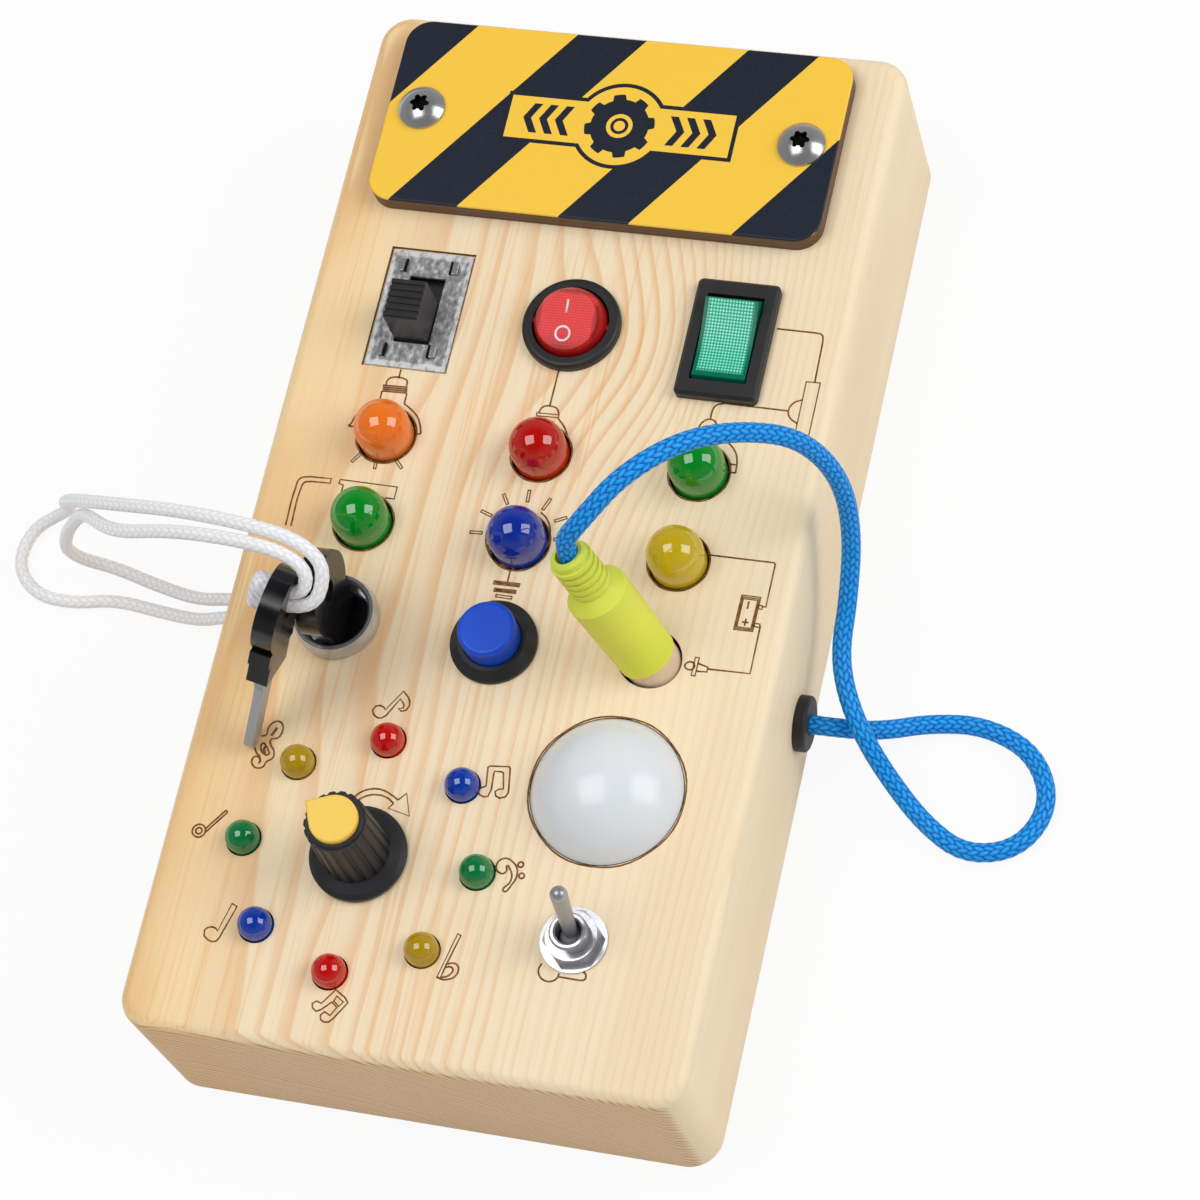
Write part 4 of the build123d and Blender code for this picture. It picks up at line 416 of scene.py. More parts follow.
def planed_pine():
    wood = Finish("planed pine", Roughness=0.5, Specular_IOR_Level=0.35)
    x, y, z = wood.parts(wood.place())
    sway = (wood.noise(wood.place(0.4, 0.12, 0.4), 0.09, 2.0) - 0.5) * 7
    across = x - PITH_X
    up = z - PITH_Z
    far = (across * across + up * up).root()
    bulge_x = (x - BULGE_AT[0]) / BULGE_SIZE[0]
    bulge_y = (y - BULGE_AT[1]) / BULGE_SIZE[1]
    bulge = (-(bulge_x * bulge_x + bulge_y * bulge_y)).exponent()
    rings = (far - bulge * 4.5 + sway * 0.5) / RING
    year = wood.noise(wood.node("CombineXYZ", {}, {0: rings * 0.35}), 1.0, 1.0)
    rings = rings + year * 1.4
    season = rings % 1
    late = season.step(0.45, 0.92) * (1 - season.step(0.92, 1.0))
    wide = 1 - ((x + 10) / 40).step(0, 1)
    fibre = wood.noise(wood.place(2.6, 0.07, 2.6), 1.0, 4.0, 0.6)
    cloud = wood.noise(wood.place(0.6, 0.15, 0.6), 0.08, 2.0)
    _, along, facing = wood.facing()
    end = abs(along).step(0.8, 0.95)
    strength = (late * (wide * 0.3 + 0.13 + end * 0.37 + bulge * 0.35) * (cloud + 0.45)).clipped()
    early_colour = wood.mix(cloud.step(0.3, 0.75), srgb(248, 229, 195), srgb(244, 221, 184))
    golden = (1 - x.step(-42, -20)) * 0.8
    early_colour = wood.mix(golden, early_colour, srgb(248, 216, 160))
    early_colour = wood.mix(end * 0.55, early_colour, srgb(230, 184, 128))
    grain = wood.mix(strength, early_colour, srgb(226, 160, 88))
    streak = wood.noise(wood.place(1.6, 0.025, 1.6), 0.8, 3.0, 0.6).step(0.5, 0.68)
    grain = wood.mix(streak * (wide * 0.3 + 0.06 + bulge * 0.25) * (1 - end), grain, srgb(238, 170, 88))
    grain = wood.mix(fibre.step(0.52, 0.75) * 0.16, grain, srgb(214, 168, 114))
    saw = wood.noise(wood.place(0.5, 1.0, 2.6), 1.4, 3.0).step(0.45, 0.7)
    grain = wood.mix(end * (late * 0.5 + saw * 0.16), grain, srgb(162, 106, 58))
    wall = (1 - abs(facing)).step(0.55, 0.8)
    inside = (abs(x) < CAVITY_HALF[0]) * (abs(y) < CAVITY_HALF[1])
    char = wood.mix(fibre, srgb(70, 42, 24), srgb(120, 78, 44))
    grain = wood.mix(wall * inside * 0.92, grain, char)
    wood.paint(
        Base_Color=grain,
        Roughness=0.42 + fibre * 0.25,
        Normal=wood.bump(fibre * 0.9 + late * 0.1, 0.02),
    )
    return wood


clad(planed_pine(), "wood_block")


# The back cover: a plain sheet of three-ply birch let into the back of the block, with its long grain
# running down the board. Six countersunk screws hold it.
PLY = 1.0


def birch_plywood():
    pale, warm, glue = srgb(226, 196, 152), srgb(198, 160, 112), srgb(120, 80, 48)
    ply = Finish("birch plywood", Roughness=0.6, Specular_IOR_Level=0.3)
    _, _, z = ply.parts(ply.place())
    fibre = ply.noise(ply.place(3.0, 0.06, 3.0), 1.0, 4.0, 0.6)
    cloud = ply.noise(ply.place(0.5, 0.12, 0.5), 0.15, 2.0)
    face = ply.mix((fibre * 0.6 + cloud * 0.6 - 0.1).clipped(), pale, warm)
    _, _, facing = ply.facing()
    side = 1 - abs(facing).step(0.35, 0.6)
    plies = z / PLY
    line = 1 - abs(plies % 1 * 2 - 1).step(0.0, 0.25)
    crossed = plies % 2 > 1
    core = ply.mix(crossed * 0.55 + fibre * 0.3, warm, glue)
    ply.paint(
        Base_Color=ply.mix(side, face, ply.mix(line * 0.7, core, glue)),
        Roughness=0.5 + fibre * 0.2,
        Normal=ply.bump(fibre, 0.03),
    )
    return ply


clad(birch_plywood(), "back_cover")


def metal(name, bright, dull, rough, grain, stretch=(1, 1, 1), depth=0.004, metallic=1.0):
    """Bare or plated metal: cloudy in tone and gloss, with fine marks that may run one way."""
    plating = Finish(name, Metallic=metallic)
    cloud = plating.noise(plating.place(), 0.6, 3.0)
    marks = plating.noise(plating.place(*stretch), grain, 3.0, 0.6)
    plating.paint(
        Base_Color=plating.mix((cloud * 0.7 + marks * 0.5 - 0.1).clipped(), bright, dull),
        Roughness=rough * 0.6 + cloud * rough * 0.5 + marks * rough * 0.4,
        Normal=plating.bump(marks, depth),
    )
    return plating


zinc = metal("zinc plated steel", srgb(208, 208, 204), srgb(150, 150, 148), 0.34, 2.5)
clad(
    zinc, "back_cover_screws", "lock_nut", "rotary_switch_nut", "battery_contacts", "push_button_spring",
    "board_screws",
)

SLOT_ARM = 2.3 * mm
SLOT_W = 0.62 * mm
SLOT_THICK = 0.04 * mm
COVER_SCREWS = [(side * 38.5 * mm, row * mm) for side in (-1, 1) for row in (-76.0, 0.0, 76.0)]


def deselect():
    bpy.ops.object.select_all(action="DESELECT")


def finished(piece, name, finish, body):
    """Names a piece, settles its place into its mesh and gives it its finish and its body."""
    piece.name = name
    piece.data.name = name
    deselect()
    piece.select_set(True)
    bpy.context.view_layer.objects.active = piece
    bpy.ops.object.transform_apply(location=True, rotation=True, scale=True)
    piece.data.materials.clear()
    piece.data.materials.append(finish.material)
    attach(piece, body)
    return piece


def joined(pieces):
    """One object from several."""
    deselect()
    for piece in pieces:
        piece.select_set(True)
    bpy.context.view_layer.objects.active = pieces[0]
    if len(pieces) > 1:
        bpy.ops.object.join()
    return bpy.context.object


def block(x, y, z, *size):
    """A small block of a given size, left in edit mode to be shaped."""
    deselect()
    bpy.ops.mesh.primitive_cube_add(size=1, location=(x, y, z))
    piece = bpy.context.object
    piece.scale = size
    bpy.ops.object.transform_apply(location=False, rotation=False, scale=True)
    bpy.ops.object.mode_set(mode="EDIT")
    return piece


def pick_face(piece, axis, sign):
    """Selects the one face that looks along an axis and lies nearest the middle."""
    bpy.ops.mesh.select_all(action="DESELECT")
    bpy.ops.object.mode_set(mode="OBJECT")
    faces = [face for face in piece.data.polygons if face.normal[axis] * sign > 0.9]
    middle = min(faces, key=lambda face: abs(face.center[axis]))
    middle.select = True
    bpy.ops.object.mode_set(mode="EDIT")


def drive_slot(x, y):
    """The dark slot of one screw head, a thin dark film that paints the shade of its recess: a small square
    with two tapered arms across the board. Two more, along the board, start from the sides of the arm towards
    +X, so the slot is bent and no true cross."""
    square = block(x, y, 0.0, SLOT_W, SLOT_W, SLOT_THICK)
    reach = (SLOT_ARM - SLOT_W) / 2
    for axis, sign in ((0, 1), (0, -1), (1, 1), (1, -1)):
        pick_face(square, axis, sign)
        push = [0.0, 0.0, 0.0]
        push[axis] = sign * reach
        bpy.ops.mesh.extrude_region_move(TRANSFORM_OT_translate={"value": push})
        arm_end = (x + push[0] * 1.3, y + push[1] * 1.3, 0)
        bpy.ops.transform.resize(value=(0.6, 0.6, 0.6), center_override=arm_end)
    bpy.ops.object.mode_set(mode="OBJECT")
    return square


# A dark steel film that paints the shade inside screw slots and frame slots.
painted_recess_shade = metal("shadowed steel", srgb(52, 50, 48), srgb(26, 25, 24), 0.6, 2.0)
drive_slots = joined([drive_slot(x, y) for x, y in COVER_SCREWS])
finished(drive_slots, "cover_screw_slots", painted_recess_shade, "board")


# The battery cover: three-ply board painted with hazard stripes, navy on yellow, and left brown at its
# edge. A cog between chevrons is printed in the middle.
PLATE_TOP = FACE + 3.2
PLATE_MID = 70.1
STRIPE_PITCH = 28.95
STRIPE_W = 11.8
STRIPE_START = 6.85
STRIPE_SLOPE = 1.357
COVER_PLY = 1.07
BADGE = (0.6, 70.3)
BADGE_R = 7.9
BADGE_BAR = (19.6, 4.6)
BADGE_RIM = 0.7
CHEVRON_PITCH = 2.7
CHEVRON_START = 9.6


def striped_board():
    board = Finish("striped battery cover", Roughness=0.4, Specular_IOR_Level=0.4)
    x, y, z = board.parts(board.place())
    grit = board.noise(board.place(), 3.0, 3.0, 0.7)
    fibre = board.noise(board.place(0.06, 3.0, 3.0), 1.0, 3.0)
    run = x - (y - PLATE_MID) / STRIPE_SLOPE - STRIPE_START
    band = run % STRIPE_PITCH
    navy = band < STRIPE_W
    east = x - BADGE[0]
    north = y - BADGE[1]
    far = (east * east + north * north).root()
    turn = board.node("Math", {"operation": "ARCTAN2"}, {0: north, 1: east})
    teeth = (turn * 8).sine().step(-0.35, 0.35) * 0.95
    sides = abs(east)
    bar = (sides < BADGE_BAR[0]) * (abs(north) < BADGE_BAR[1])
    bar_in = (sides < BADGE_BAR[0] - BADGE_RIM) * (abs(north) < BADGE_BAR[1] - BADGE_RIM)
    disc = far < BADGE_R
    disc_in = far < BADGE_R - BADGE_RIM
    field = bar.most(disc)
    panel = bar_in.most(disc_in)
    cog = (far < teeth + 4.9) * (far > 2.2)
    hub = (far > 0.95) * (far < 1.5)
    lean = sides + abs(north) * 0.55
    striped = (lean - CHEVRON_START) / CHEVRON_PITCH % 1 < 0.5
    chevrons = (lean > CHEVRON_START) * (lean < CHEVRON_START + 8) * striped * (abs(north) < 2.7)
    print_on = cog.most(hub).most(chevrons)
    dark = (navy * (1 - field) + field * (1 - panel) + print_on * panel).clipped()
    yellow = board.mix(grit, srgb(255, 210, 72), srgb(250, 199, 58))
    ink = board.mix(grit.step(0.55, 0.8), srgb(25, 32, 48), srgb(48, 55, 72))
    painted = board.mix(dark, yellow, ink)
    plies = (z - FACE) / COVER_PLY % 1
    glue = 1 - abs(plies * 2 - 1).step(0.0, 0.35)
    edge = board.mix(fibre, srgb(122, 86, 58), srgb(84, 56, 38))
    edge = board.mix(glue * 0.75, edge, srgb(52, 34, 24))
    board.paint(
        Base_Color=board.mix(z > PLATE_TOP - 0.3, edge, painted),
        Roughness=0.34 + grit * 0.16,
        Normal=board.bump(grit * 0.5 + fibre * 0.5, 0.012),
    )
    return board


clad(striped_board(), "battery_cover")


# The two button-head screws of the battery cover: polished steel with a star recess, turned into brass
# inserts in the wood. The recess is painted dark as its shade.
PLATE_SCREWS_MID = (-1.0, 70.0)
PLATE_SCREW_ACROSS = 32.1
STAR_R = 1.7
STAR_TOP = PLATE_TOP + 1.9
polished = metal(
    "polished steel", srgb(196, 196, 198), srgb(160, 160, 163), 0.26, 6.0, depth=0.001, metallic=0.7,
)
star = Finish("star recess", Metallic=0.7)
x, y, z = star.parts(star.place())
east = abs(x - PLATE_SCREWS_MID[0]) - PLATE_SCREW_ACROSS
north = y - PLATE_SCREWS_MID[1]
# The recess, within STAR_R and below STAR_TOP, is painted near black as its shade.
inside = (east * east + north * north).root() < STAR_R
worn = star.noise(star.place(), 6.0, 2.0)
steel = star.mix(worn, srgb(200, 200, 202), srgb(160, 160, 163))
star.paint(
    Base_Color=star.mix(inside * (z < STAR_TOP), steel, srgb(30, 30, 32)),
    Roughness=0.16 + worn * 0.14,
)
clad(star, "battery_cover_screws")
brass = metal("brass", srgb(226, 192, 110), srgb(188, 150, 74), 0.3, 3.0)
clad(brass, "threaded_inserts", "switch_terminals")


# The battery box behind the cover: black plastic with two wrapped cells.
def moulded(name, colour, worn, rough, grain=6.0, depth=0.008, **constants):
    """Moulded plastic: the fine grain of its mould, a little uneven in tone and gloss."""
    plastic = Finish(name, **constants)
    texture = plastic.noise(plastic.place(), grain, 3.0, 0.65)
    cloud = plastic.noise(plastic.place(), 0.25, 2.0)
    plastic.paint(
        Base_Color=plastic.mix((texture * 0.7 + cloud * 0.7 - 0.2).clipped(), colour, worn),
        Roughness=rough - 0.06 + cloud * 0.12,
        Normal=plastic.bump(texture, depth),
    )
    return plastic


black = moulded("black plastic", srgb(24, 24, 26), srgb(44, 44, 47), 0.45)
clad(
    black, "battery_box", "rotary_switch", "push_button_nut", "toggle_body", "round_rocker_housing",
    "rect_rocker_housing", "push_button_housing",
)


BAND_FROM = 13.2
CAP_FROM = 21.6


def cell_wrap():
    """A dry cell in its sleeve: grey with a green band at each end, and bare steel caps."""
    cell = Finish("wrapped cell", Roughness=0.3)
    x, _, _ = cell.parts(cell.place())
    print_grain = cell.noise(cell.place(), 2.0, 2.0)
    band = abs(x).step(BAND_FROM, BAND_FROM + 0.2)
    sleeve = cell.mix(band, srgb(62, 64, 70), srgb(60, 130, 74))
    sleeve = cell.mix(print_grain * 0.3, sleeve, srgb(120, 122, 126))
    cap = abs(x).step(CAP_FROM, CAP_FROM + 0.2)
    cell.paint(
        Base_Color=cell.mix(cap, sleeve, srgb(205, 205, 200)),
        Metallic=cap,
        Roughness=0.26 + print_grain * 0.1,
    )
    return cell


clad(cell_wrap(), "batteries")


# The slide switch: a zinc-plated frame crimped over a black body, with a black ribbed lever. The frame is
# mottled, with a painted highlight along its rim, and its four crimped tabs stand a little proud beside the
# slots they were cut from, whose darkness is painted shade.
SLIDE_AT = (-25.9, 35.2)
FRAME_HALF = (6.8, 10.45)
FRAME_TOP = (FACE + 0.3) * mm
mottled = Finish("mottled zinc", Metallic=0.4)
patch = mottled.noise(mottled.place(1.0, 0.6, 1.0), 1.2, 3.0, 0.5)
x, y, _ = mottled.parts(mottled.place())
across = abs(x - SLIDE_AT[0]) / FRAME_HALF[0]
along = abs(y - SLIDE_AT[1]) / FRAME_HALF[1]
# A lighter band all round the frame's edge: a painted highlight.
rim = across.most(along).step(0.88, 0.93)
scratch = mottled.noise(mottled.place(6.0, 0.4, 1.0), 2.0, 2.0)
mottled.paint(
    Base_Color=mottled.ramp(
        patch + rim * 0.24,
        (0.26, srgb(118, 118, 120)), (0.5, srgb(164, 164, 166)), (0.76, srgb(238, 238, 239)),
    ),
    Roughness=0.24 + patch * 0.25,
    Normal=mottled.bump(patch * 0.7 + scratch * 0.3, 0.05),
)
clad(mottled, "slide_switch_frame")
clad(black, "slide_switch_base")
lever_black = moulded("ribbed black plastic", srgb(20, 20, 22), srgb(52, 52, 55), 0.36, 8.0, 0.01)
clad(lever_black, "slide_switch_lever")


def crimp_tab(x, y, outward):
    """One crimped tab: a strip bent over, thin at its outer side, with its upper edges rounded."""
    tab = block(x, y, FRAME_TOP + 0.12 * mm, 0.55 * mm, 2.1 * mm, 0.3 * mm)
    pick_face(tab, 0, outward)
    bpy.ops.mesh.extrude_region_move(TRANSFORM_OT_translate={"value": (outward * 0.4 * mm, 0, -0.06 * mm)})
    bpy.ops.transform.resize(
        value=(1, 0.86, 0.5), center_override=(x + outward * 0.67 * mm, y, FRAME_TOP),
    )
    bpy.ops.mesh.select_all(action="SELECT")
    bpy.ops.mesh.bevel(offset=0.06 * mm, segments=2)
    bpy.ops.object.mode_set(mode="OBJECT")
    return tab


def crimp_slot(x, y, outward):
    """The dark slot beside a tab, on its inner side: a thin strip with bevelled edges, painted dark as the
    slot's shade.
    """
    slot = block(x - outward * SLOT_IN, y, FRAME_TOP, 0.4 * mm, 2.4 * mm, 0.04 * mm)
    bpy.ops.mesh.select_all(action="SELECT")
    bpy.ops.mesh.bevel(offset=0.12 * mm, segments=2)
    bpy.ops.object.mode_set(mode="OBJECT")
    return slot


CRIMPS = [(-30.37, 42.75, -1), (-21.7, 43.01, 1), (-30.33, 27.41, -1), (-21.94, 27.87, 1)]
SLOT_IN = 0.55 * mm
crimp_tabs = joined([crimp_tab(x * mm, y * mm, outward) for x, y, outward in CRIMPS])
finished(crimp_tabs, "crimp_tabs", polished, "board")
crimp_slots = joined([crimp_slot(x * mm, y * mm, outward) for x, y, outward in CRIMPS])
finished(crimp_slots, "crimp_slots", painted_recess_shade, "board")


# The round rocker: a satin black bezel round a red translucent cap, which shows the fine grid moulded
# into its underside. A white line and ring mark on and off.
def gridded(name, deep, bright, dots, pitch, lowest, middle, width, length):
    """Tinted clear plastic over a grid of little lenses: its top painted in lighter colours as if lit
    through, its sides left deep as painted shade.
    """
    cap = Finish(name, Specular_IOR_Level=0.25, Subsurface_Weight=0.15, Subsurface_Scale=0.002)
    x, y, z = cap.parts(cap.place())
    across = (x / pitch) % 1 - 0.5
    along = (y / pitch) % 1 - 0.5
    dot = 1 - (across * across + along * along).step(0.04, 0.16)
    east = abs(x - middle[0]) / width
    north = abs(y - middle[1]) / length
    inside = 1 - east.most(north).step(0.86, 0.98)
    above = z.step(lowest, lowest + 1.0)
    # The cap's top takes the lighter colours as painted light; the grid's dots are real, shown lighter still.
    glow = inside * above
    cloud = cap.noise(cap.place(), 0.5, 2.0)
    painted_lit_colour = cap.mix(dot * 0.85, bright, dots)
    cap.paint(
        Base_Color=cap.mix((glow * (cloud * 0.3 + 0.8)).clipped(), deep, painted_lit_colour),
        Roughness=0.24 + cloud * 0.12,
        Normal=cap.bump(dot * glow, 0.01),
    )
    return cap


red_grid = gridded(
    "red gridded plastic", srgb(168, 14, 18), srgb(226, 36, 40), srgb(246, 80, 80), 0.42,
    FACE + 2.6, (0.0, 34.5), 4.7, 4.6,
)
clad(red_grid, "round_rocker_cap")
ROCKER_TILT = math.radians(12)
ROCKER_PIVOT = Vector((0.0, 35.2 * mm, (FACE + 0.6) * mm))
ROCKER_UP = Vector((0.0, -math.sin(ROCKER_TILT), math.cos(ROCKER_TILT)))
ROCKER_NORTH = Vector((0.0, math.cos(ROCKER_TILT), math.sin(ROCKER_TILT)))
ROCKER_FACE = ROCKER_PIVOT + ROCKER_UP * 3.42 * mm


def stroke_mesh(name, strokes, width, thick):
    """Drawn lines as a thin raised film: curves of a round section, flattened on the drawing's plane."""
    curve = bpy.data.curves.new(name, "CURVE")
    curve.dimensions = "3D"
    curve.bevel_depth = width / 2
    curve.bevel_resolution = 1
    curve.use_fill_caps = True
    curve.resolution_u = 6
    for kind, closed, *points in strokes:
        if kind == "line":
            spline = curve.splines.new("POLY")
            spline.points.add(len(points) - 1)
            for point, (x, y) in zip(spline.points, points):
                point.co = (x * mm, y * mm, 0, 1)
        else:
            spline = curve.splines.new("BEZIER")
            spline.bezier_points.add(len(points) - 1)
            for point, (x, y) in zip(spline.bezier_points, points):
                point.co = (x * mm, y * mm, 0)
                point.handle_left_type = "AUTO"
                point.handle_right_type = "AUTO"
        spline.use_cyclic_u = closed
    drawing = bpy.data.objects.new(name, curve)
    bpy.context.collection.objects.link(drawing)
    deselect()
    drawing.select_set(True)
    bpy.context.view_layer.objects.active = drawing
    bpy.ops.object.convert(target="MESH")
    drawing = bpy.context.object
    bpy.ops.object.mode_set(mode="EDIT")
    bpy.ops.mesh.select_all(action="SELECT")
    bpy.ops.mesh.remove_doubles(threshold=0.002 * mm)
    bpy.ops.transform.resize(value=(1, 1, thick / width), center_override=(0, 0, 0))
    bpy.ops.object.mode_set(mode="OBJECT")
    return drawing


# Strokes are straight or smooth, and open or closed.
def line(*points):
    return ("line", False, *points)


def outline(*points):
    return ("line", True, *points)


def sweep(*points):
    return ("curve", False, *points)


def loop(*points):
    return ("curve", True, *points)


def ring(x, y, radius):
    """A closed stroke round a place."""
    angles = [k * math.pi / 4 for k in range(8)]
    return loop(*[(x + radius * math.cos(angle), y + radius * math.sin(angle)) for angle in angles])


white_ink = moulded("white ink", srgb(246, 240, 238), srgb(228, 216, 214), 0.4)
marks = stroke_mesh(
    "rocker_marks", [line((-0.25, 3.3), (-0.25, 1.1)), ring(-0.25, -2.35, 1.15)], 0.38 * mm, 0.06 * mm,
)
marks.matrix_world = Matrix((
    (1, 0, 0, ROCKER_FACE.x),
    (0, ROCKER_NORTH.y, ROCKER_UP.y, ROCKER_FACE.y),
    (0, ROCKER_NORTH.z, ROCKER_UP.z, ROCKER_FACE.z),
    (0, 0, 0, 1),
))
finished(marks, "rocker_marks", white_ink, "round_rocker")


# The tall rocker: a chamfered black bezel round a clear green cap over a grid of small lenses.
green_grid = gridded(
    "green gridded plastic", srgb(0, 112, 84), srgb(30, 176, 138), srgb(176, 255, 236), 0.5,
    FACE - 0.6, (25.9, 35.2), 4.0, 6.4,
)
clad(green_grid, "rect_rocker_cap")


# The push button: a blue cap in a black ring. Its spring, pressed to half its length, gets a mesh of its own.
blue_gloss = moulded(
    "blue plastic", srgb(8, 72, 208), srgb(16, 84, 220), 0.34, 3.0, 0.004, Specular_IOR_Level=0.35,
)
clad(blue_gloss, "push_button_cap")
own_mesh(nodes["push_button_spring"])


# The lock: a chromed ring round a black cylinder with a slot for the key.
chrome = metal("chrome", srgb(222, 223, 228), srgb(176, 177, 183), 0.13, 8.0, depth=0.0008, metallic=0.75)
clad(chrome, "lock_housing", "toggle_bushing", "toggle_washer", "toggle_nut")
satin = metal("satin steel", srgb(188, 189, 194), srgb(150, 151, 156), 0.3, 5.0, depth=0.001, metallic=0.6)
clad(satin, "toggle_lever")
blackened = metal("blackened steel", srgb(38, 37, 38), srgb(18, 18, 19), 0.34, 3.0, metallic=0.5)
clad(blackened, "lock_cylinder")


# The two keys: moulded black heads on milled steel blades. One stays in the lock; the other leans against
# it on the lanyard that both share.
BLADE_END = 15.5


def key_finish(name, origin, along):
    """Black plastic to the shoulder and satin steel beyond it, measured along the key."""
    key = Finish(name)
    steel = key.reach(origin, along) < BLADE_END
    texture = key.noise(key.place(), 5.0, 3.0, 0.6)
    cloud = key.noise(key.place(), 0.4, 2.0)
    head = key.mix(cloud, srgb(11, 11, 12), srgb(30, 30, 33))
    blade = key.mix(texture, srgb(186, 188, 192), srgb(164, 166, 171))
    key.paint(
        Base_Color=key.mix(steel, head, blade),
        Metallic=steel * 0.5,
        Roughness=0.12 + cloud * 0.1 + steel * 0.2,
        Normal=key.bump(texture, 0.01),
    )
    return key


SPARE_ALONG = (0.25566, 0.54372, 0.79938)
SPARE_EYE = (-26.7, -26.8, 56.6)
EYE_FROM_TIP = 29.4
LOCKED_TIP = (-25.9, -19.7, 15.6)
SPARE_TIP = tuple(eye - EYE_FROM_TIP * part for eye, part in zip(SPARE_EYE, SPARE_ALONG))
clad(key_finish("spare key", SPARE_TIP, SPARE_ALONG), "spare_key")
clad(key_finish("key in the lock", LOCKED_TIP, (0.0, 0.0, 1.0)), "inserted_key")

knotted = Finish("knotted polyester", Roughness=0.6, Sheen_Weight=0.3, Sheen_Roughness=0.4)
x, y, z = knotted.parts(knotted.place())
twill = ((x + z) * 5.2).sine() * ((y - z) * 5.2).sine()
fuzz = knotted.noise(knotted.place(), 5.0, 2.0)
tone = (twill * 0.4 + fuzz * 0.5 + 0.3).clipped()
knotted.paint(
    Base_Color=knotted.mix(tone, srgb(198, 198, 204), srgb(250, 250, 252)),
    Normal=knotted.bump(twill * 0.6 + fuzz * 0.4, 0.12),
)
clad(knotted, "key_cord_knot")


# The rotary switch and its knob: a fluted knob of grained black plastic with a yellow teardrop let into
# its top, on a steel shaft.
knob_black = moulded(
    "knob plastic", srgb(32, 32, 35), srgb(54, 54, 58), 0.42, 7.0, 0.006, Specular_IOR_Level=0.25,
)
clad(knob_black, "knob")
pointer_yellow = moulded(
    "yellow plastic", srgb(255, 212, 92), srgb(252, 203, 76), 0.42, 4.0, 0.004, Subsurface_Weight=0.1,
    Subsurface_Scale=0.002,
)
clad(pointer_yellow, "knob_pointer")
clad(polished, "knob_shaft")


# The lamps: tinted resin cast in one piece over the chip, each ball deep in colour at its top and paler
# at its foot, where light gets in from the side.
def resin(name, deep, pale, foot, crown):
    lens = Finish(
        name, Coat_Weight=1.0, Coat_Roughness=0.02, Coat_IOR=1.8, Specular_IOR_Level=0.0,
        Subsurface_Weight=0.2, Subsurface_Scale=0.002,
    )
    _, _, z = lens.parts(lens.place())
    height = (z - foot) / (crown - foot)
    swirl = lens.noise(lens.place(), 0.35, 3.0, 0.6)
    light = 1 - (height + swirl * 0.3 - 0.15).step(0.0, 0.5)
    chip = lens.noise(lens.place(), 1.6, 2.0)
    tone = lens.mix((light * 0.7).clipped(), deep, pale)
    lens.paint(
        Base_Color=lens.mix((swirl - 0.5).clipped() * 0.5, tone, deep),
        Roughness=0.1 + chip * 0.08,
    )
    return lens


BALL_FOOT = FACE - 0.5
BALL_CROWN = FACE + 7.5
LAMP_TINTS = {
    "lamp_orange": (srgb(245, 122, 30), srgb(244, 142, 66)),
    "lamp_red": (srgb(186, 12, 4), srgb(236, 70, 20)),
    "lamps_green": (srgb(0, 140, 30), srgb(30, 160, 56)),
    "lamp_blue": (srgb(14, 46, 160), srgb(36, 66, 176)),
    "lamp_yellow": (srgb(206, 178, 18), srgb(220, 190, 46)),
}
for node, (deep, pale) in LAMP_TINTS.items():
    clad(resin(node.replace("_", " ") + " resin", deep, pale, BALL_FOOT, BALL_CROWN), node)


# The eight lamps round the knob: the same resin, smaller, and a shade darker.
NOTE_CROWN = FACE + 3.5
NOTE_TINTS = {
    "note_lamps_yellow": (srgb(178, 146, 6), srgb(200, 166, 16)),
    "note_lamps_red": (srgb(196, 10, 4), srgb(236, 34, 16)),
    "note_lamps_blue": (srgb(4, 58, 166), srgb(10, 72, 188)),
    "note_lamps_green": (srgb(0, 122, 62), srgb(6, 140, 80)),
}
for node, (deep, pale) in NOTE_TINTS.items():
    clad(resin(node.replace("_", " ") + " resin", deep, pale, BALL_FOOT, NOTE_CROWN), node)


# The night light: a milky dome, glossy outside, that hides its lamp.
milky = Finish(
    "milky dome", Coat_Weight=0.3, Coat_Roughness=0.16, Specular_IOR_Level=0.3, Subsurface_Weight=0.3,
    Subsurface_Scale=0.004,
)
haze = milky.noise(milky.place(), 0.12, 2.0)
speck = milky.noise(milky.place(), 3.0, 3.0, 0.7)
milky.paint(
    Base_Color=milky.mix(haze, srgb(236, 236, 240), srgb(226, 226, 231)),
    Roughness=0.16 + speck * 0.1,
)
clad(milky, "dome_lens")


# The circuit boards behind the face: green solder mask over copper tracks, with tinned pads.
mask = Finish("solder mask", Roughness=0.3, Coat_Weight=0.4, Coat_Roughness=0.1)
x, y, _ = mask.parts(mask.place())
TRACK_PITCH = 1.8
sway = mask.noise(mask.place(), 0.2, 1.0) * 6
track = ((x + sway) / TRACK_PITCH % 1).step(0.55, 0.62)
weave = (x * 9).sine() * (y * 9).sine()
pad = mask.node("TexVoronoi", {}, {"Vector": mask.place(), "Scale": 0.3}) < 0.35
green_mask = mask.mix(track * 0.6, srgb(16, 84, 44), srgb(44, 130, 70))
mask.paint(
    Base_Color=mask.mix(pad, green_mask, srgb(206, 200, 184)),
    Metallic=pad,
    Normal=mask.bump(weave * 0.3 + track * 0.7, 0.02),
)
clad(mask, "lamp_board", "note_lamp_board", "dome_board")


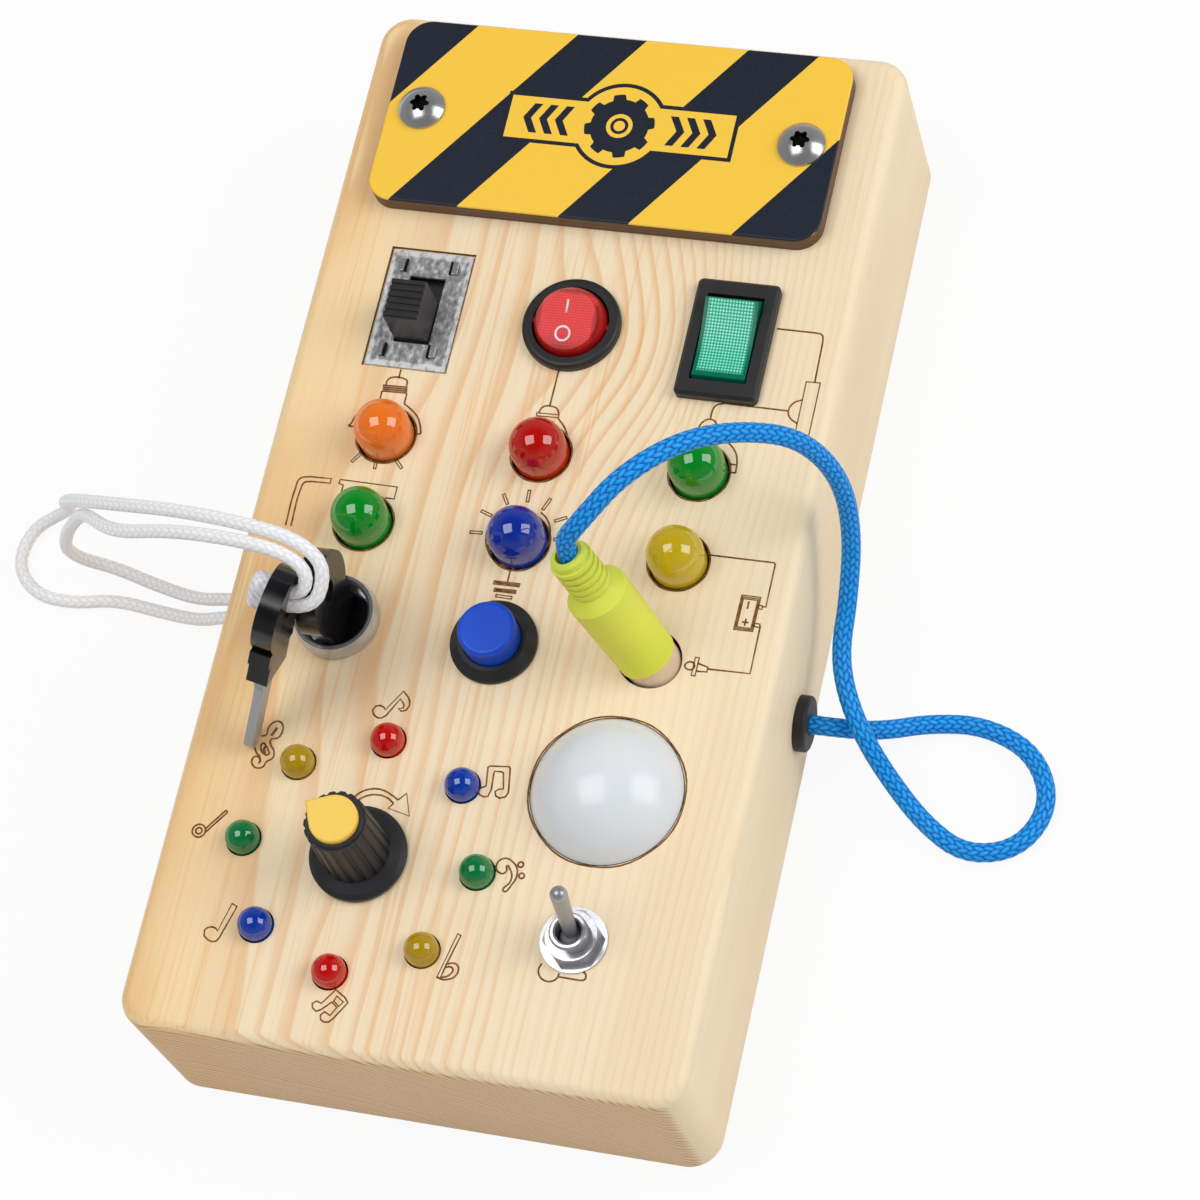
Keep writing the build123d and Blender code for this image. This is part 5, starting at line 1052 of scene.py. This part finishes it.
# The plug: a turned wooden peg in a sleeve of soft lime rubber, which lets a little light in and is
# paler towards its ribbed neck.
PLUG_ALONG = Vector((-0.321, 0.172, 0.931)).normalized()
PLUG_FOOT = (24.9, -19.3, FACE)
lime = Finish("lime rubber", Subsurface_Weight=0.25, Subsurface_Scale=0.003, Specular_IOR_Level=0.4)
skin = lime.noise(lime.place(), 4.0, 3.0, 0.6)
cloud = lime.noise(lime.place(), 0.3, 2.0)
along = lime.reach(PLUG_FOOT, tuple(PLUG_ALONG)).step(3.0, 26.0)
body = lime.mix(along, srgb(240, 234, 68), srgb(212, 224, 78))
lime.paint(
    Base_Color=lime.mix(cloud * 0.4, body, srgb(232, 234, 100)),
    Roughness=0.36 + cloud * 0.14,
    Normal=lime.bump(skin, 0.02),
)
clad(lime, "plug_sleeve")

turned = Finish("turned beech", Roughness=0.5, Specular_IOR_Level=0.3)
fleck = turned.noise(turned.place(1.6, 1.6, 0.25), 1.4, 4.0, 0.6)
rays = turned.noise(turned.place(0.4, 0.4, 0.1), 1.0, 2.0)
tone = (fleck * 0.7 + rays * 0.5 - 0.1).clipped()
turned.paint(
    Base_Color=turned.mix(tone, srgb(242, 220, 194), srgb(222, 190, 156)),
    Normal=turned.bump(fleck, 0.03),
)
clad(turned, "plug_peg")


# The grommets: black rubber rings where the cords pass through the sides.
rubber = moulded("black rubber", srgb(20, 20, 21), srgb(42, 42, 44), 0.6, 4.0, 0.02)
clad(rubber, "right_grommet", "left_grommet")


# The engravings: a laser drew a sign for each lamp and switch, fine lines scorched brown into the face.
scorched = Finish("scorched line", Roughness=0.8, Specular_IOR_Level=0.2)
soot = scorched.noise(scorched.place(), 0.9, 3.0)
scorched.paint(
    Base_Color=scorched.mix(soot.step(0.3, 0.7), srgb(104, 66, 30), srgb(156, 108, 58)),
    Normal=scorched.bump(soot, 0.02),
)
LINE_W = 0.3 * mm
LINE_THICK = 0.03 * mm


def burn(name, *strokes):
    drawing = stroke_mesh(name, strokes, LINE_W, LINE_THICK)
    drawing.location = (0, 0, (FACE + 0.008) * mm)
    finished(drawing, name, scorched, "board")


def dash(x0, y0, x1, y1, width=0.42):
    """A short ray: a narrow closed box between two places."""
    length = math.hypot(x1 - x0, y1 - y0)
    across = ((y1 - y0) / length * width / 2, -(x1 - x0) / length * width / 2)
    return outline(
        (x0 + across[0], y0 + across[1]), (x1 + across[0], y1 + across[1]),
        (x1 - across[0], y1 - across[1]), (x0 - across[0], y0 - across[1]),
    )


# Round the holes of the lamps and of the dome the laser left a browned rim.
LAMP_COLUMNS = (-25.9, 0.0, 25.9)
LAMP_ROWS = (12.6, -2.8)
LAMP_RIM_R = 4.95
DOME_AT = (23.06, -41.65)
DOME_RIM_R = 12.2
lamp_rims = [ring(x, y, LAMP_RIM_R) for x in LAMP_COLUMNS for y in LAMP_ROWS]
burn("burnt_rims", *lamp_rims, ring(*DOME_AT, DOME_RIM_R))

# Over the orange lamp: a pendant lamp on its flex, with a threaded cap, a shade and three rays of light.
THREADS = [(0.05 * k, -0.34 * k) for k in range(4)]
burn(
    "pendant_engraving",
    line((-26.3, 24.3), (-26.3, 22.7)),
    sweep((-28.1, 21.3), (-28.05, 22.2), (-27.5, 22.7), (-25.4, 22.75), (-24.8, 22.4), (-24.7, 21.5)),
    *[line((-28.6 + east, 21.2 + north), (-24.45 + east, 21.32 + north)) for east, north in THREADS],
    line((-28.5, 20.2), (-28.5, 18.6)),
    line((-24.3, 20.2), (-24.3, 18.4)),
    sweep((-24.3, 18.4), (-23.0, 17.6), (-21.6, 16.4), (-20.8, 15.0), (-20.3, 13.5)),
    line((-20.3, 13.5), (-21.2, 13.4)),
    sweep((-31.0, 16.6), (-31.9, 15.0), (-32.2, 13.9), (-32.6, 13.4)),
    line((-32.6, 13.4), (-30.9, 13.4)),
    dash(-30.4, 7.3, -29.3, 8.9), dash(-26.4, 6.6, -26.4, 8.3), dash(-22.0, 7.2, -23.2, 8.5),
)

# Over the red lamp: a bulb on a long flex.
burn(
    "bulb_engraving",
    line((-0.45, 27.5), (-0.5, 20.9)),
    sweep((-2.0, 19.5), (-1.8, 20.3), (-1.3, 20.8), (-0.1, 20.9), (0.8, 20.6), (1.3, 19.7)),
    outline((-2.3, 19.5), (1.35, 19.6), (1.4, 19.1), (-2.25, 19.0)),
    sweep((-2.0, 19.0), (-2.9, 17.9), (-3.6, 16.3)),
    sweep((1.3, 19.0), (2.6, 17.7), (3.5, 16.3)),
)

# Over the left green lamp: a desk lamp's head, with the bent arm that carries it.
burn(
    "desk_lamp_engraving",
    line((-30.8, 1.9), (-30.8, 3.1), (-31.6, 3.3), (-31.5, 4.0), (-21.9, 3.9), (-21.9, 1.8), (-23.4, 1.8)),
    line((-36.2, 3.05), (-33.0, 3.15), (-33.0, 3.95), (-36.6, 3.85)),
    sweep((-36.2, 3.05), (-37.3, 2.7), (-37.6, 1.6), (-37.6, -5.0)),
    sweep((-36.6, 3.85), (-38.2, 3.3), (-38.5, 1.7), (-38.5, -5.0)),
)

# Round the blue lamp: a shining bulb on its screw cap.
burn(
    "shining_bulb_engraving",
    sweep((-5.6, -0.6), (-5.5, -2.8), (-4.8, -4.7), (-3.2, -6.5), (-0.9, -7.2), (1.7, -6.7), (3.7, -4.8),
         (4.6, -2.6), (4.5, -0.4), (3.6, 1.5), (2.3, 2.6)),
    line((0.3, -7.2), (-0.3, -7.9), (-0.3, -9.7)),
    outline((-2.45, -9.85), (1.75, -9.8), (1.7, -10.35), (-2.45, -10.4)),
    outline((-2.1, -11.1), (1.4, -11.0), (1.4, -11.55), (-2.1, -11.6)),
    outline((-1.6, -12.1), (1.0, -12.1), (1.0, -12.55), (-1.6, -12.5)),
    line((-2.3, -10.12), (1.6, -10.08)),
    line((-1.95, -11.35), (1.3, -11.28)),
    dash(-8.25, -2.2, -6.3, -2.1), dash(-7.3, 1.6, -5.5, 1.0), dash(-4.4, 4.9, -3.4, 3.3),
    dash(-0.4, 6.1, -0.3, 4.1), dash(3.3, 5.1, 2.5, 3.1), dash(4.85, 1.4, 6.6, 2.25),
    dash(5.4, -1.7, 7.2, -1.3),
)

# From the tall rocker to the right green lamp: its wire, a fluorescent tube and a bell.
burn(
    "tube_lamp_engraving",
    line((33.0, 38.75), (39.3, 38.75)),
    sweep((39.3, 38.75), (40.4, 38.5), (40.75, 37.4)),
    line((40.75, 37.4), (40.9, 30.2)),
    outline((39.55, 30.15), (41.8, 30.2), (41.8, 19.1), (39.6, 19.05)),
    sweep((39.6, 27.0), (38.25, 26.2), (37.75, 24.8), (38.2, 23.7), (39.6, 22.8)),
    line((37.75, 24.8), (27.4, 24.85)),
    sweep((27.4, 24.85), (26.1, 24.3), (25.7, 22.8), (25.75, 21.8)),
    sweep((24.0, 19.4), (24.6, 21.2), (25.65, 21.85), (26.7, 21.4), (27.2, 19.6)),
    sweep((28.6, 18.8), (30.7, 17.0), (31.4, 15.5), (31.65, 13.2)),
    line((31.65, 13.2), (29.7, 13.3)),
    line((31.45, 14.6), (30.6, 14.6)),
)

# From the yellow lamp to the plug: a battery with its two poles and a small plug on the wire.
burn(
    "battery_engraving",
    line((30.0, -1.05), (40.8, -1.0), (41.05, -1.25), (41.05, -8.45), (40.4, -8.5)),
    outline((36.95, -7.0), (39.95, -7.0), (39.85, -12.75), (36.85, -12.8)),
    outline((37.12, -7.28), (39.78, -7.28), (39.68, -12.53), (37.05, -12.55)),
    outline((37.3, -7.55), (39.6, -7.55), (39.5, -12.3), (37.25, -12.3)),
    outline((39.9, -8.3), (40.5, -8.35), (40.5, -8.95), (39.9, -8.9)),
    outline((39.9, -11.35), (40.75, -11.4), (40.75, -11.95), (39.9, -11.9)),
    line((38.25, -7.9), (38.25, -9.15)),
    line((37.9, -11.4), (38.9, -11.4)),
    line((38.4, -10.8), (38.4, -12.0)),
    line((40.85, -11.65), (40.9, -19.65), (34.3, -19.8)),
    loop((30.7, -20.0), (30.8, -19.25), (31.85, -19.15), (31.95, -20.1)),
    outline((31.95, -18.15), (32.55, -18.15), (32.5, -21.2), (31.9, -21.2)),
    line((32.6, -19.1), (34.2, -19.5), (34.2, -20.3), (32.5, -20.4)),
)

# Round the knob: a note or sign beside each small lamp, and an arrow for the way it turns.
burn(
    "quaver_engraving",
    outline((-12.45, -30.05), (-14.6, -33.5), (-14.95, -33.1), (-15.6, -32.9), (-16.3, -33.15),
         (-16.6, -33.85), (-16.3, -34.5), (-15.6, -34.95), (-14.9, -34.95), (-14.25, -34.4),
         (-12.65, -31.4), (-11.85, -32.2), (-11.8, -32.8), (-12.6, -33.0), (-12.0, -33.4), (-11.3, -33.1),
         (-10.95, -32.3), (-11.05, -31.6), (-11.5, -30.9)),
)
burn(
    "beamed_quavers_engraving",
    outline((3.4, -44.0), (4.2, -43.5), (3.8, -40.5), (4.0, -40.25), (7.1, -39.9), (7.3, -40.2),
         (7.8, -43.3), (7.9, -44.1), (7.6, -44.8), (6.8, -45.15), (6.1, -44.9), (5.8, -44.2), (6.3, -43.75),
         (7.0, -43.6), (6.4, -41.0), (6.0, -40.9), (5.0, -40.95), (4.95, -41.4), (5.15, -43.9),
         (4.9, -45.1), (4.3, -45.3), (3.6, -45.1), (3.2, -44.6)),
)
burn(
    "bass_clef_engraving",
    loop((8.95, -56.5), (8.8, -55.6), (9.3, -54.8), (10.1, -54.5), (11.15, -54.9), (12.05, -55.8),
         (12.3, -57.1), (11.9, -58.4), (10.8, -59.7), (11.5, -58.1), (11.5, -57.0), (11.0, -56.1),
         (10.45, -55.65), (10.55, -56.4), (10.15, -56.95), (9.5, -56.9)),
    ring(12.5, -55.15, 0.42), ring(13.05, -56.9, 0.42),
)
burn(
    "flat_sign_engraving",
    outline((5.4, -67.4), (5.95, -67.6), (4.75, -72.6), (4.4, -74.6), (3.8, -74.6)),
    sweep((4.75, -72.4), (5.8, -72.05), (6.55, -72.3), (6.85, -73.0), (6.6, -73.95), (5.8, -74.6),
         (4.7, -74.8), (3.8, -74.6)),
    sweep((4.7, -72.9), (5.5, -72.7), (6.0, -73.05), (5.8, -73.75), (5.2, -74.3), (4.4, -74.5)),
)
burn(
    "semiquavers_engraving",
    outline((-11.2, -78.95), (-9.55, -79.9), (-8.85, -80.65), (-10.5, -83.45), (-11.1, -84.1),
         (-11.8, -84.2), (-12.4, -83.9), (-12.6, -83.2), (-12.1, -82.6), (-11.1, -83.05), (-10.35, -81.65),
         (-11.35, -80.95), (-12.7, -82.35), (-13.4, -82.75), (-14.1, -82.3), (-14.3, -81.6),
         (-13.7, -81.15), (-12.9, -81.4)),
    outline((-10.8, -79.9), (-9.6, -80.65), (-10.1, -81.45), (-11.1, -80.75)),
)
burn(
    "crotchet_engraving",
    outline((-30.85, -68.05), (-29.95, -68.4), (-31.45, -73.7), (-31.8, -74.35), (-32.4, -74.5),
         (-33.1, -74.35), (-33.9, -73.8), (-34.1, -72.9), (-33.7, -72.4), (-33.1, -72.2), (-32.4, -72.3),
         (-32.0, -72.7)),
)
burn(
    "minim_engraving",
    line((-35.75, -53.4), (-38.3, -56.9)),
    line((-35.4, -53.65), (-38.1, -57.4)),
    line((-35.75, -53.4), (-35.4, -53.65)),
    ring(-39.2, -57.3, 1.05), ring(-39.2, -57.3, 0.5),
)
burn(
    "treble_clef_engraving",
    sweep((-33.3, -40.6), (-32.5, -40.2), (-32.5, -39.2), (-31.9, -38.1), (-31.0, -37.8), (-30.25, -38.4),
         (-30.1, -39.5), (-30.5, -40.45), (-31.6, -41.0), (-31.5, -41.6), (-30.6, -42.8), (-30.5, -43.8),
         (-31.4, -44.7), (-31.7, -45.5), (-32.5, -45.85), (-33.4, -45.5), (-33.75, -44.6), (-33.3, -44.0),
         (-32.7, -44.15), (-32.35, -44.6), (-32.6, -45.1)),
    sweep((-33.9, -41.2), (-33.95, -42.2), (-33.5, -43.2), (-32.6, -44.1), (-32.4, -44.9)),
    outline((-31.8, -40.2), (-31.2, -38.9), (-31.0, -39.0), (-31.55, -40.2)),
    loop((-32.7, -41.7), (-32.8, -42.6), (-32.0, -43.3), (-32.2, -42.6), (-32.2, -41.95)),
    loop((-32.1, -42.2), (-31.6, -42.7), (-31.3, -43.3), (-31.9, -43.5)),
)
burn(
    "turning_arrow_engraving",
    sweep((-16.1, -48.5), (-15.2, -47.4), (-13.6, -46.6), (-11.9, -46.5), (-10.0, -47.2), (-9.0, -47.75)),
    line((-9.0, -47.75), (-7.9, -46.5), (-6.6, -50.05), (-10.2, -49.3), (-9.55, -48.4)),
    sweep((-9.55, -48.4), (-10.9, -47.6), (-12.4, -47.4), (-14.05, -47.8), (-15.3, -48.7)),
)

# Below the toggle: the sign of a lever thrown to one side.
burn(
    "lever_engraving",
    sweep((19.3, -70.0), (19.0, -70.9), (19.25, -71.8), (20.0, -72.45), (21.0, -72.6), (21.95, -72.1),
         (22.3, -71.1)),
    line((22.2, -71.65), (25.6, -71.7)),
    sweep((25.6, -71.7), (26.25, -71.5), (26.4, -71.0), (26.0, -70.4), (25.2, -70.35)),
)


# The table and the light: a plain pale floor in a white room with a grey ceiling, and two square soft
# boxes above the camera's shoulders.
def white_room():
    """White to the eye; grey to reflections, under a darker ceiling; a plain level to light the object by."""
    world = bpy.data.worlds.new("white room")
    world.use_nodes = True
    bpy.context.scene.world = world
    room = Nodes(world.node_tree)
    plain = room.tree.nodes["Background"]
    room.feed(plain, {"Color": (1, 1, 1, 1), "Strength": 0.4})
    _, _, height = room.parts(room.node("TexCoord", {}, {}, out="Generated"))
    ceiling = room.ramp(height, (0.35, (0.26, 0.26, 0.26)), (0.8, (0.04, 0.04, 0.04)))
    wall = room.mix(room.node("LightPath", {}, {}, out="Is Camera Ray"), ceiling, (1, 1, 1))
    shown = room.node("Background", {}, {"Color": wall, "Strength": 1.0})
    chosen = room.node("MixShader", {}, {0: room.seen(), 1: Value(room, plain.outputs[0]), 2: shown})
    room.tree.links.new(chosen.socket, room.tree.nodes["World Output"].inputs["Surface"])


white_room()

deselect()
bpy.ops.mesh.primitive_plane_add(size=3.0, location=(0, 0, -0.05 * mm))
floor = bpy.context.object
floor.name = "floor"
table = Finish("pale table", Roughness=0.9, Base_Color=(0.86, 0.86, 0.86, 1))
glow = table.node("Emission", {}, {"Color": (1, 1, 1, 1), "Strength": 1.0})
veil = table.node("MixShader", {}, {0: table.seen() * 0.9, 1: Value(table, table.shader.outputs[0]), 2: glow})
table.tree.links.new(veil.socket, table.tree.nodes["Material Output"].inputs["Surface"])
floor.data.materials.append(table.material)

view_turn = camera.rotation_euler.to_matrix()
AIM = Vector((0, 0, 0.03))
SOFT_BOX_AWAY = 1.1
SOFT_BOX_SIZE = 0.68
SOFT_BOX_POWER = 5.0
for name, right, up, back in (("left", -0.49, 0.34, 0.80), ("right", 0.66, 0.33, 0.68)):
    spot = AIM + view_turn @ Vector((right, up, back)) * SOFT_BOX_AWAY
    bpy.ops.object.light_add(type="AREA", location=spot)
    soft_box = bpy.context.object
    soft_box.name = name + "_soft_box"
    soft_box.data.size = SOFT_BOX_SIZE
    soft_box.data.energy = SOFT_BOX_POWER
    soft_box.rotation_euler = (spot - AIM).to_track_quat("Z", "Y").to_euler()
